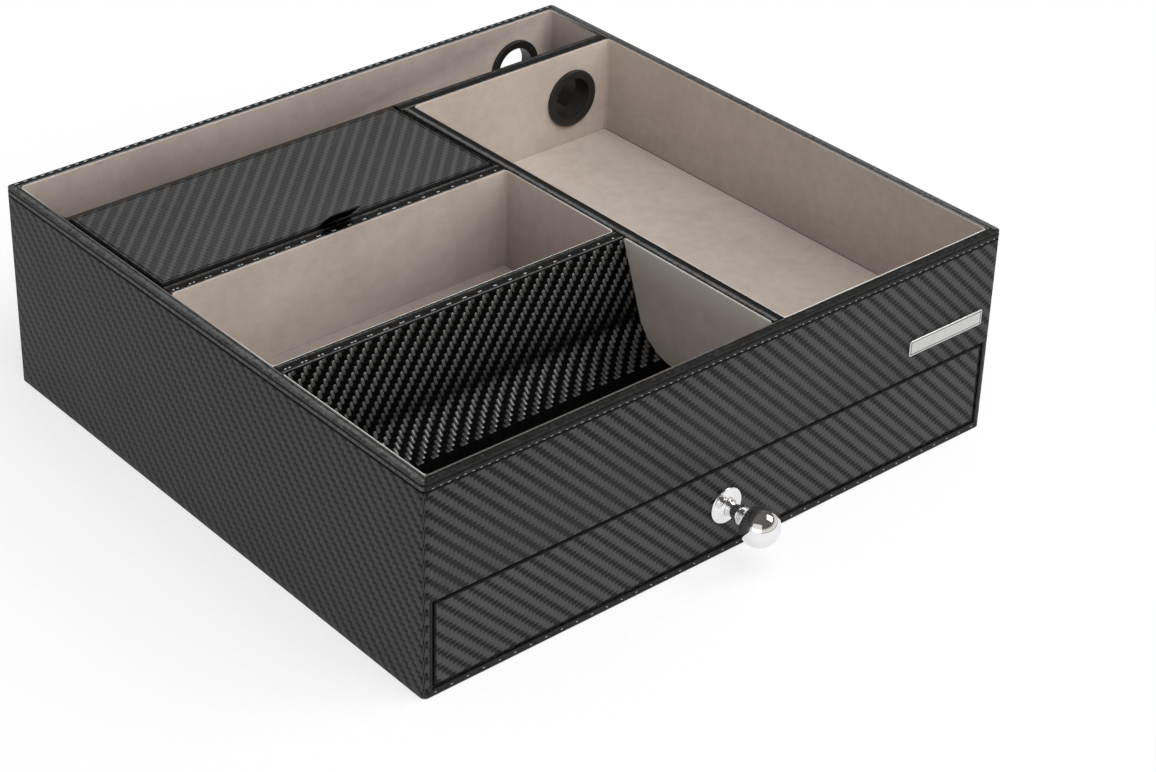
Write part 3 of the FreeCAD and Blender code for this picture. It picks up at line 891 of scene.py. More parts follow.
class Shape:
    """A mesh under construction, in metres."""

    def __init__(self) -> None:
        """Starts an empty mesh."""
        self.mesh = bmesh.new()
        # The layer of painted light and shade.
        self.painted_light = self.mesh.verts.layers.float.new(PAINTED_LIGHT_LAYER)

    @classmethod
    def of_node(cls, node: str) -> "Shape":
        """Gives a merged copy of a CAD node's mesh, with its flat sides as single faces.

        Args:
            node: The node's name.

        Returns:
            The copy.
        """
        shape = cls()
        shape.mesh.from_mesh(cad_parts[node].data)
        bmesh.ops.remove_doubles(shape.mesh, verts=shape.mesh.verts, dist=0.5e-6)
        bmesh.ops.dissolve_limit(
            shape.mesh, angle_limit=math.radians(1), verts=shape.mesh.verts, edges=shape.mesh.edges
        )
        return shape

    def vert(self, place: Sequence[float], mark: float = 0.0) -> bmesh.types.BMVert:
        """Adds a point.

        Args:
            place: Where it is.
            mark: Its painted light or shade, from -1 for black shade to 1 for a full highlight.

        Returns:
            The point.
        """
        made = self.mesh.verts.new(place)
        made[self.painted_light] = mark
        return made

    def turn_out(self) -> "Shape":
        """Turns every face outwards."""
        bmesh.ops.recalc_face_normals(self.mesh, faces=self.mesh.faces)
        return self

    def join(
        self, rings: Sequence[Sequence[bmesh.types.BMVert]], ends: Ends = Ends.FILLED
    ) -> "Shape":
        """Joins rings of points by faces, each ring to the next.

        Args:
            rings: The rings, all with the same number of points.
            ends: What becomes of the first and the last ring.

        Returns:
            This shape.
        """
        pairs = list(zip(rings, rings[1:]))
        if ends is Ends.JOINED:
            pairs.append((rings[-1], rings[0]))
        for lower, upper in pairs:
            for i, vert in enumerate(lower):
                j = (i + 1) % len(lower)
                self.mesh.faces.new((vert, lower[j], upper[j], upper[i]))
        if ends is Ends.FILLED:
            self.mesh.faces.new(list(reversed(rings[0])))
            self.mesh.faces.new(rings[-1])
        return self

    def sweep(
        self,
        outline: Outline,
        profile: Sequence[tuple[float, ...]],
        facing: Facing = Facing.UP,
        ends: Ends = Ends.FILLED,
    ) -> "Shape":
        """Sweeps a profile round an outline.

        Args:
            outline: The path.
            profile: Each point's inset, depth and painted light or shade if any, rising on the outer
                side.
            facing: How the outline lies.
            ends: What becomes of the first and the last ring.

        Returns:
            This shape.
        """
        rings = []
        for inset, depth, *mark in profile:
            places = [facing.place(a, b, depth) for a, b in outline.points(inset)]
            rings.append([self.vert(place, *mark) for place in places])
        return self.join(rings, ends)

    def extrude(self, profile: Sequence[tuple[Vector, float]], along: Vector) -> "Shape":
        """Pulls a closed profile straight along a direction.

        Args:
            profile: The profile's points in turn, each with its painted light or shade.
            along: How far and which way it goes.

        Returns:
            This shape.
        """
        start = [self.vert(point, mark) for point, mark in profile]
        end = [self.vert(point + along, mark) for point, mark in profile]
        return self.join((start, end)).turn_out()

    def lathe(self, centre: Vector, profile: Sequence[Pair], segments: int = 64) -> "Shape":
        """Turns a profile round an axis along Y.

        Args:
            centre: A point on the axis.
            profile: Each point's radius and its place along +Y from the centre.
            segments: How many parts the turn has.

        Returns:
            This shape.
        """
        rings: list[list[bmesh.types.BMVert]] = []
        for radius, depth in profile:
            if radius < 1e-7:
                rings.append([self.mesh.verts.new(centre + Vector((0, depth, 0)))])
                continue
            ring = []
            for k in range(segments):
                angle = 2 * math.pi * k / segments
                offset = Vector((radius * math.cos(angle), depth, radius * math.sin(angle)))
                ring.append(self.mesh.verts.new(centre + offset))
            rings.append(ring)
        for first, second in zip(rings, rings[1:]):
            for k in range(segments):
                n = (k + 1) % segments
                verts = [first[k % len(first)], first[n % len(first)]]
                verts += [second[n % len(second)], second[k % len(second)]]
                unique = list(dict.fromkeys(verts))
                if len(unique) > 2:
                    self.mesh.faces.new(unique)
        return self.turn_out()

    def remove(self, inside: Callable[[Vector], bool], close: bool = False) -> "Shape":
        """Deletes the faces whose middle is inside.

        Args:
            inside: Says whether a face's middle is in the part to be taken out.
            close: Whether the holes that this leaves are filled.

        Returns:
            This shape.
        """
        doomed = [face for face in self.mesh.faces if inside(face.calc_center_median())]
        bmesh.ops.delete(self.mesh, geom=doomed, context="FACES")
        if close:
            edges = [edge for edge in self.mesh.edges if edge.is_boundary]
            bmesh.ops.holes_fill(self.mesh, edges=edges, sides=0)
        return self

    def round_edges(self, width: float, segments: int = 2, angle: float = 35.0) -> "Shape":
        """Rounds the sharp edges.

        Args:
            width: How wide the rounding is.
            segments: How many parts it has.
            angle: The least angle between two faces that counts as sharp, in degrees.

        Returns:
            This shape.
        """
        least = math.radians(angle)
        edges = [e for e in self.mesh.edges if e.is_manifold and e.calc_face_angle(0.0) > least]
        bmesh.ops.bevel(
            self.mesh,
            geom=edges,
            offset=width,
            segments=segments,
            profile=0.5,
            affect="EDGES",
            clamp_overlap=True,
        )
        return self

    def repaint(self, change: Callable[[Vector, float], float]) -> "Shape":
        """Changes the painted light and shade.

        Args:
            change: Gives a point's new painted light or shade from its place and its old one.

        Returns:
            This shape.
        """
        for vert in self.mesh.verts:
            vert[self.painted_light] = change(vert.co, vert[self.painted_light])
        return self

    def lay_out(self, mirrored: bool = False) -> "Shape":
        """Lays the leather's weave on the faces, in metres, each from the side that it faces.

        Args:
            mirrored: Whether the weave's diagonals run the other way.

        Returns:
            This shape.
        """
        layer = self.mesh.loops.layers.uv.get(WEAVE_MAP) or self.mesh.loops.layers.uv.new(WEAVE_MAP)
        turn = -1.0 if mirrored else 1.0
        for face in self.mesh.faces:
            face.normal_update()
            x, y, z = face.normal
            for loop in face.loops:
                point = loop.vert.co
                if abs(z) >= max(abs(x), abs(y)):
                    across, along = point.x, point.y
                elif abs(y) >= abs(x):
                    across, along = (point.x if y < 0 else -point.x), point.z
                else:
                    across, along = (point.y if x > 0 else -point.y), point.z
                loop[layer].uv = (across * turn, along)
        return self

    def finish(
        self,
        name: str,
        finish: Finish,
        *nodes: str,
        body: Body | None = Body.CASE,
        crisp: float = 40.0,
    ) -> bpy.types.Object:
        """Makes the piece.

        Args:
            name: Its name.
            finish: Its finish.
            *nodes: The CAD nodes that it stands for.
            body: The body that it rides on, or None if it rides on none.
            crisp: The angle above which an edge looks sharp, in degrees.

        Returns:
            The piece.
        """
        return finish_mesh(mesh_data(name, self.mesh), finish, nodes, body, crisp)


def mesh_data(name: str, made: bmesh.types.BMesh) -> bpy.types.Mesh:
    """Turns a mesh under construction into mesh data.

    Args:
        name: The data's name.
        made: The mesh, which is freed.

    Returns:
        The data.
    """
    data = bpy.data.meshes.new(name)
    made.to_mesh(data)
    made.free()
    return data


def add_object(name: str, data: bpy.types.ID) -> bpy.types.Object:
    """Adds an object to the scene.

    Args:
        name: Its name.
        data: Its mesh, lamp or camera.

    Returns:
        The object.
    """
    made = bpy.data.objects.new(name, data)
    bpy.context.scene.collection.objects.link(made)
    return made


def baked(guide: bpy.types.Object) -> bpy.types.Mesh:
    """Gives an object's mesh as its modifiers leave it.

    Args:
        guide: The object.

    Returns:
        The mesh.
    """
    bpy.context.view_layer.update()
    evaluated = guide.evaluated_get(bpy.context.evaluated_depsgraph_get())
    data = bpy.data.meshes.new_from_object(evaluated)
    data.name = guide.name
    return data


def finish_mesh(
    data: bpy.types.Mesh,
    finish: Finish,
    nodes: Sequence[str] = (),
    body: Body | None = Body.CASE,
    crisp: float = 40.0,
) -> bpy.types.Object:
    """Turns mesh data into a piece of the tray.

    Args:
        data: The mesh, in the frame, with the piece's name.
        finish: Its finish.
        nodes: The CAD nodes that it stands for.
        body: The body that it rides on, or None if it rides on none.
        crisp: The angle above which an edge looks sharp, in degrees.

    Returns:
        The piece.
    """
    data.shade_smooth()
    data.set_sharp_from_angle(angle=math.radians(crisp))
    data.materials.clear()
    data.materials.append(finish.material)
    piece = add_object(data.name, data)
    if nodes:
        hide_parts(*nodes)
    if body:
        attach(piece, body.value)
    log.info("%s: %d faces", piece.name, len(data.polygons))
    return piece


def solidified(piece: bpy.types.Object, thickness: float) -> None:
    """Gives an open sheet its thickness, inwards.

    Args:
        piece: The sheet.
        thickness: How thick it gets.
    """
    wall = piece.modifiers.new("thickness", "SOLIDIFY")
    wall.thickness = thickness
    wall.offset = -1.0
    bake_modifiers(piece)


def bored(piece: bpy.types.Object, centre: Vector, radius: float, reach: float) -> None:
    """Bores a round hole along Y through a piece.

    Args:
        piece: The piece.
        centre: The hole's middle.
        radius: The hole's radius.
        reach: How far the drill goes each way.
    """
    drill_mesh = bmesh.new()
    bmesh.ops.create_cone(
        drill_mesh,
        cap_ends=True,
        segments=64,
        radius1=radius,
        radius2=radius,
        depth=2 * reach,
        matrix=Matrix.Translation(centre) @ Euler((math.pi / 2, 0, 0)).to_matrix().to_4x4(),
    )
    drill = add_object("drill", mesh_data("drill", drill_mesh))
    cut = piece.modifiers.new("bore", "BOOLEAN")
    cut.object = drill
    cut.solver = "EXACT"
    bake_modifiers(piece)
    bpy.data.objects.remove(drill)


def bake_modifiers(piece: bpy.types.Object) -> None:
    """Applies a piece's modifiers to its mesh.

    Args:
        piece: The piece.
    """
    data = baked(piece)
    piece.modifiers.clear()
    piece.data = data


def arc(
    centre: Pair, radius: float, start: float, end: float, steps: int, *mark: float
) -> list[tuple[float, ...]]:
    """Gives points on an arc.

    Args:
        centre: The arc's middle.
        radius: Its radius.
        start: The first point's angle, in degrees.
        end: The last point's angle.
        steps: How many parts it has.
        *mark: The painted light or shade of its points, if they get one.

    Returns:
        The points, with both ends.
    """
    points = []
    for k in range(steps + 1):
        angle = math.radians(start + (end - start) * k / steps)
        across, along = radius * math.cos(angle), radius * math.sin(angle)
        points.append((centre[0] + across, centre[1] + along, *mark))
    return points


@dataclass(frozen=True)
class Seam:
    """A row of stitches from side to side.

    Attributes:
        left: Where it starts.
        right: Where it ends.
        depth: Its place from front to back.
        height: Its height.
        facing: Which way the stitches' tops look.
    """

    left: float
    right: float
    depth: float
    height: float
    facing: tuple[float, float, float] = (0, 0, 1)


@dataclass(frozen=True)
class StitchRows:
    """Rows of even stitches, set along seams by Geometry Nodes.

    Attributes:
        pitch: The distance from one stitch to the next.
        length: A stitch's visible length.
        width: A stitch's width.
        height: How far a stitch stands up.
        wander: How far a stitch turns out of line, in radians.
        seed: The seed for the wander.
    """

    pitch: float
    length: float
    width: float = 0.45 * MM
    height: float = 0.4 * MM
    wander: float = 0.05
    seed: int = 3

    def tree(self) -> bpy.types.NodeTree:
        """Builds the node tree.

        Returns:
            The tree, with a named input for each size.
        """
        tree = bpy.data.node_groups.new("stitch_rows", "GeometryNodeTree")
        inputs = {"Geometry": "NodeSocketGeometry"}
        inputs |= dict.fromkeys(("Pitch", "Length", "Width", "Height", "Wander"), "NodeSocketFloat")
        inputs |= {"Seed": "NodeSocketInt", "Material": "NodeSocketMaterial"}
        for name, kind in inputs.items():
            tree.interface.new_socket(name, in_out="INPUT", socket_type=kind)
        tree.interface.new_socket("Geometry", in_out="OUTPUT", socket_type="NodeSocketGeometry")
        graph = Graph(tree)
        start = graph.node("NodeGroupInput").outputs
        line = graph.node("GeometryNodeMeshToCurve", values={"Mesh": start["Geometry"]})
        even = graph.node(
            "GeometryNodeResampleCurve",
            {"mode": "LENGTH"},
            {"Curve": line.outputs[0], "Length": start["Pitch"]},
        )
        bead = graph.node(
            "GeometryNodeMeshUVSphere", values={"Segments": 8, "Rings": 5, "Radius": 0.5}
        )
        sizes = graph.node(
            "ShaderNodeCombineXYZ",
            values={"X": start["Length"], "Y": start["Width"], "Z": start["Height"]},
        )
        stitch = graph.node(
            "GeometryNodeTransform",
            values={"Geometry": bead.outputs["Mesh"], "Scale": sizes.outputs[0]},
        )
        tangent = graph.node("GeometryNodeInputTangent")
        along = graph.node(
            "FunctionNodeAlignRotationToVector", {"axis": "X"}, {"Vector": tangent.outputs[0]}
        )
        facing = graph.node(
            "GeometryNodeInputNamedAttribute", {"data_type": "FLOAT_VECTOR"}, {"Name": "facing"}
        )
        upright = graph.node(
            "FunctionNodeAlignRotationToVector",
            {"axis": "Z", "pivot_axis": "X"},
            {"Rotation": along.outputs[0], "Vector": facing.outputs[0]},
        )
        turn = graph.node(
            "FunctionNodeRandomValue",
            {"data_type": "FLOAT"},
            {2: Signal(graph, start["Wander"]) * -1, 3: start["Wander"], "Seed": start["Seed"]},
        )
        twist = graph.node(
            "FunctionNodeAxisAngleToRotation",
            values={"Axis": (0.0, 0.0, 1.0), "Angle": turn.outputs[1]},
        )
        turned = graph.node(
            "FunctionNodeRotateRotation",
            {"rotation_space": "LOCAL"},
            {0: upright.outputs[0], 1: twist.outputs[0]},
        )
        places = {
            "Points": even.outputs[0],
            "Instance": stitch.outputs[0],
            "Rotation": turned.outputs[0],
        }
        placed = graph.node("GeometryNodeInstanceOnPoints", values=places)
        real = graph.node("GeometryNodeRealizeInstances", values={0: placed.outputs[0]})
        coloured = graph.node(
            "GeometryNodeSetMaterial",
            values={"Geometry": real.outputs[0], "Material": start["Material"]},
        )
        graph.node("NodeGroupOutput", values={0: coloured.outputs[0]})
        return tree

    def sew(self, seams: Iterable[Seam], name: str, thread: Finish) -> bpy.types.Object:
        """Sews every seam and bakes the stitches to one plain mesh.

        Args:
            seams: The lines to sew along.
            name: The piece's name.
            thread: The thread's finish.

        Returns:
            The stitches, riding on the case.
        """
        lines = bmesh.new()
        facing = lines.verts.layers.float_vector.new("facing")
        for seam in seams:
            ends = [lines.verts.new((x, seam.depth, seam.height)) for x in (seam.left, seam.right)]
            for vert in ends:
                vert[facing] = seam.facing
            lines.edges.new(ends)
        guide = add_object(name, mesh_data("seam_lines", lines))
        tree = self.tree()
        rows = guide.modifiers.new("stitches", "NODES")
        rows.node_group = tree
        chosen = {
            "Pitch": self.pitch,
            "Length": self.length,
            "Width": self.width,
            "Height": self.height,
            "Wander": self.wander,
            "Seed": self.seed,
            "Material": thread.material,
        }
        for socket in tree.interface.items_tree:
            if socket.in_out == "INPUT" and socket.name in chosen:
                rows[socket.identifier] = chosen[socket.name]
        stitches = baked(guide)
        bpy.data.objects.remove(guide)
        return finish_mesh(stitches, thread, crisp=180.0)


@dataclass(frozen=True)
class Assembly:
    """A sub-assembly of the tray.

    Attributes:
        finishes: The tray's finishes.
        leather: The leather's thickness.
    """

    finishes: Finishes
    leather: float = 0.7 * MM

    def build(self) -> None:
        """Makes its pieces."""
        raise NotImplementedError


@dataclass(frozen=True)
class OuterShell(Assembly):
    """The carbon leather round the outside of the case, with the drawer's doorway.

    Attributes:
        corner: The radius of the upright corners.
        seam: How deep the seam down each corner is.
        roll: How far the top edge rolls in under the rim's binding.
        reveal: How far the doorway's leather goes in.
        proud: How far the plain strips round the doorway stand out.
        left_shade: The painted shade on the front, deepest at its left end.
    """

    corner: float = 2.0 * MM
    seam: float = 0.3 * MM
    roll: float = 0.3 * MM
    reveal: float = 7.0 * MM
    proud: float = 0.1 * MM
    left_shade: float = -0.2

    def build(self) -> None:
        """Makes the walls and the doorway's edge."""
        wrap = Extent.of("outer_leather_wrap")
        deck = Extent.of("deck_board")
        doorway_x = deck.high.x
        doorway_z = (Extent.of("base_board").high.z, deck.low.z - self.leather)
        outline = Outline(
            wrap.low.xy[:], wrap.high.xy[:], self.corner, 8, (-doorway_x, doorway_x), self.seam
        )
        top = wrap.high.z - self.roll
        profile = [(0.0, height) for height in (wrap.low.z, *doorway_z, top - 0.5 * MM)]
        # The roll under the binding is painted black as shade.
        profile += [(0.0, top - 0.35 * MM, -1.0), (0.0, top, -1.0), (self.roll, wrap.high.z, -1.0)]
        walls = Shape().sweep(outline, profile, ends=Ends.OPEN)
        walls.remove(
            lambda p: p.y < wrap.low.y + self.corner
            and abs(p.x) < doorway_x
            and doorway_z[0] < p.z < doorway_z[1]
        )
        front = wrap.low.y + 0.3 * MM

        def darker_left(point: Vector, mark: float) -> float:
            """Gives the mark, with painted shade on the front growing towards its left end."""
            share = (wrap.high.x - point.x) / (wrap.high.x - wrap.low.x)
            return mark + self.left_shade * share if point.y < front and mark == 0 else mark

        walls.repaint(darker_left)
        walls.lay_out()
        piece = walls.finish("shell_leather", self.finishes.carbon, "outer_leather_wrap")
        solidified(piece, self.leather)
        grommet = Extent.of("back_grommet_bush")
        bored(piece, grommet.middle(), Grommets.seat, 30 * MM)
        self.build_reveal(wrap.low.y, doorway_x, doorway_z)

    def build_reveal(self, front: float, side: float, rise: Pair) -> None:
        """Makes the thin leather that lines the doorway's edge.

        Args:
            front: Where the case's front is.
            side: The doorway's half width.
            rise: The doorway's bottom and top.
        """
        thin = 0.3 * MM
        outline = Outline((-side, rise[0]), (side, rise[1]), 0.5 * MM, 4)
        near = -front - 0.6 * MM
        profile = [(0.0, near - self.reveal), (0.0, near), (thin, near), (thin, near - self.reveal)]
        lip = Shape().sweep(outline, profile, Facing.FRONT, Ends.JOINED)
        wrap = Extent.of("outer_leather_wrap")
        low = wrap.low.z + 0.05 * MM
        reach = -wrap.low.x - self.corner
        foot = Vector((2 * reach, 0, 0))
        self.add_strip(lip, front, (low, rise[0]), lambda y, z: (-reach, y, z), foot)
        for hand in (-1, 1):
            self.add_strip(
                lip,
                front,
                (reach, side),
                lambda y, x: (hand * x, y, rise[0] - 0.05 * MM),
                Vector((0, 0, rise[1] - rise[0])),
            )
        lip.lay_out()
        lip.finish("doorway_leather", self.finishes.edge)
        end = reach - 3 * MM
        seam = Seam(-end, end, front - self.proud, (low + rise[0]) / 2, (0, -1, 0))
        dots = StitchRows(6.9 * MM, 1.1 * MM, 0.45 * MM, 0.25 * MM)
        dots.sew([seam], "doorway_stitches", self.finishes.thread)

    def add_strip(
        self,
        lip: Shape,
        front: float,
        span: Pair,
        place: Callable[[float, float], tuple[float, float, float]],
        along: Vector,
    ) -> None:
        """Adds a plain strip that the leather makes where it is turned round the doorway.

        Args:
            lip: The mesh that it is added to.
            front: Where the case's front is.
            span: The strip's outer and inner edge.
            place: Gives the point at a depth and a place across the strip.
            along: How far and which way the strip runs.
        """
        soft = 0.2 * MM
        way = math.copysign(1.0, span[1] - span[0])
        back, face = front + 0.5 * MM, front - self.proud
        # A painted highlight along the outer edge; the face is painted darker, and black towards and
        # inside the doorway as shade.
        section = (
            (back, span[0], -1.0),
            (front, span[0], 0.3),
            (face, span[0] + way * soft, 0.3),
            (face, span[0] + way * 2 * soft, -0.7),
            (face, span[1] - way * 2 * soft, -0.8),
            (face, span[1] - way * soft, -1.0),
            (front, span[1], -1.0),
            (back, span[1], -1.0),
        )
        lip.extrude([(Vector(place(y, across)), mark) for y, across, mark in section], along)


@dataclass(frozen=True)
class RimBinding(Assembly):
    """The leather folded over the top of the outer walls, with its stitches.

    Attributes:
        corner: The outer radius of its corners.
        fold: The radius of its folded edges.
        groove: How deep the crease below the outer edge is.
        bare: How much of the lining's top edge stays in sight.
        dull: How much of a painted highlight stays on the front and the back.
        end_shade: The painted shade added to those two.
    """

    corner: float = 2.0 * MM
    fold: float = 0.55 * MM
    groove: float = 0.28 * MM
    bare: float = 0.35 * MM
    dull: float = 0.5
    end_shade: float = -0.6

    def build(self) -> None:
        """Makes the binding and the stitches below it and on it."""
        rim = Extent.of("rim_binding")
        bay = Extent.of("right_bay_wall_lining")
        top = rim.high.z
        inner = rim.high.x - bay.high.x + SuedeLinings.cloth - self.bare
        under = Extent.of("left_wall_board").high.z
        fold = self.fold
        outline = Outline(rim.low.xy[:], rim.high.xy[:], self.corner, 8)
        # The marks paint light and shade: black grooves and folds, grey bands, and highlights along the
        # folded top edges.
        profile = [
            (0.3 * MM, rim.low.z, -1.0),
            (0.0, rim.low.z + 0.45 * MM, -1.0),
            (0.0, rim.low.z + 0.55 * MM, 0.45),
            (0.0, top - 1.75 * MM, 0.45),
            (0.03 * MM, top - 1.68 * MM, -1.0),
            (self.groove, top - 1.2 * MM, -1.0),
            (0.1 * MM, top - 0.72 * MM, -1.0),
            (0.06 * MM, top - 0.66 * MM, 0.3),
        ]
        profile += arc((fold + 0.05 * MM, top - fold), fold, 180, 90, 5, 0.3)
        profile += [(inner * 0.4, top, 0.7), (inner - 1.5 * MM, top, 0.45)]
        profile += [(inner - 1.42 * MM, top, -1.0), (inner - 1.05 * MM, top, -1.0)]
        profile += [(inner - 0.97 * MM, top, 0.45)]
        profile += arc((inner - fold, top - fold), fold, 90, 45, 3, 0.9)
        profile += arc((inner - fold, top - fold), fold, 30, 0, 2, -1.0)
        profile += [(inner, under, -1.0), (self.leather, under), (self.leather, rim.low.z)]
        cover = Shape().sweep(outline, profile, ends=Ends.JOINED).lay_out()

        def darker_ends(point: Vector, mark: float) -> float:
            """Paints more shade on the front and the back than on the sides.

            Args:
                point: A point of the binding.
                mark: Its mark.

            Returns:
                Its new mark.
            """
            across = min(point.x - rim.low.x, rim.high.x - point.x)
            along = min(point.y - rim.low.y, rim.high.y - point.y)
            return mark * self.dull + self.end_shade if 0 < mark < 0.8 and along < across else mark

        cover.repaint(darker_ends)
        cover.finish("rim_leather", self.finishes.edge, "rim_binding")
        self.sew(rim)

    def sew(self, rim: Extent) -> None:
        """Sews the rows below the binding, front and back, and the row on the back rim's top.

        Args:
            rim: The binding's box.
        """
        half = rim.high.x - 4 * MM
        drop = rim.low.z + 0.55 * MM
        sunk = 0.05 * MM
        below = [
            Seam(-half, half, rim.low.y + sunk, drop, (0, -1, 0)),
            Seam(-half, half, rim.high.y - sunk, drop, (0, 1, 0)),
        ]
        rows_below = StitchRows(3.35 * MM, 1.5 * MM, 0.45 * MM, 0.35 * MM, 0.2)
        rows_below.sew(below, "rim_stitches", self.finishes.dull_thread)
        on_top = Seam(-half, half, rim.high.y - 1.5 * MM, rim.high.z)
        row_on_top = StitchRows(3.9 * MM, 2.2 * MM, 0.8 * MM, 0.4 * MM)
        row_on_top.sew([on_top], "back_rim_stitches", self.finishes.thread)


@dataclass(frozen=True)
class DividerCaps(Assembly):
    """The leather on the dividers' tops, with stitches on the front edges of two of them.

    Attributes:
        fold: The radius of the folded edges.
        bare: How much of each lining's top edge stays in sight.
        bare_right: The same on the right of the divider that runs from front to back.
    """

    fold: float = 0.5 * MM
    bare: float = 0.25 * MM
    bare_right: float = 0.6 * MM

    def build(self) -> None:
        """Makes the four caps and their stitches."""
        for node, runs_back in (
            ("mid_divider_binding", True),
            ("rear_divider_binding", False),
            ("lid_divider_binding", False),
            ("coin_divider_binding", False),
        ):
            self.build_cap(node, runs_back)
        seams = []
        for node in ("lid_divider_binding", "coin_divider_binding"):
            cap = Extent.of(node)
            for start in (2 * MM, 3.8 * MM):
                left, right = cap.low.x + start, cap.high.x - 4 * MM
                seams.append(Seam(left, right, cap.low.y + 1.8 * MM, cap.high.z))
        rows = StitchRows(6.9 * MM, 1.2 * MM, 0.75 * MM, 0.45 * MM)
        rows.sew(seams, "divider_stitches", self.finishes.thread)

    def build_cap(self, node: str, runs_back: bool) -> None:
        """Makes one cap.

        Args:
            node: The CAD node that it stands for.
            runs_back: Whether it runs from front to back.
        """
        cap = Extent.of(node)
        low, high, fold, near = cap.low, cap.high, self.fold, self.bare
        if runs_back:
            far = high.x - low.x - self.bare_right
            crown_highlight, shadow, tip = (0.36, 1.0), 0.62, -1.0
        else:
            far = high.y - low.y - self.bare
            crown_highlight, shadow, tip = (0.22, 0.5), 0.45, 0.6
        width = far - near
        # Painted light and shade across the cap: black folded edges, a highlight along its top, shade
        # behind it, and a light or black far edge.
        section = [(near, low.z, -1.0)]
        section += arc((near + fold, high.z - fold), fold, 180, 90, 4, -1.0)
        if runs_back:
            section.append((near + fold + 0.3 * MM, high.z, 0.2))
        section.append((near + width * crown_highlight[0], high.z, crown_highlight[1]))
        section.append((near + width * shadow, high.z, -0.9))
        section.append((far - fold - 0.3 * MM, high.z, -0.9))
        section += arc((far - fold, high.z - fold), fold, 90, 45, 2, tip)
        section += arc((far - fold, high.z - fold), fold, 22, 0, 1, -1.0)
        section.append((far, low.z, -1.0))
        if runs_back:
            profile = [(Vector((low.x + across, low.y, z)), mark) for across, z, mark in section]
            along = Vector((0, high.y - low.y, 0))
        else:
            profile = [(Vector((low.x, high.y - across, z)), mark) for across, z, mark in section]
            along = Vector((high.x - low.x, 0, 0))
        shape = Shape().extrude(profile, along).lay_out()
        shape.finish(node.replace("_binding", "_leather"), self.finishes.edge, node)


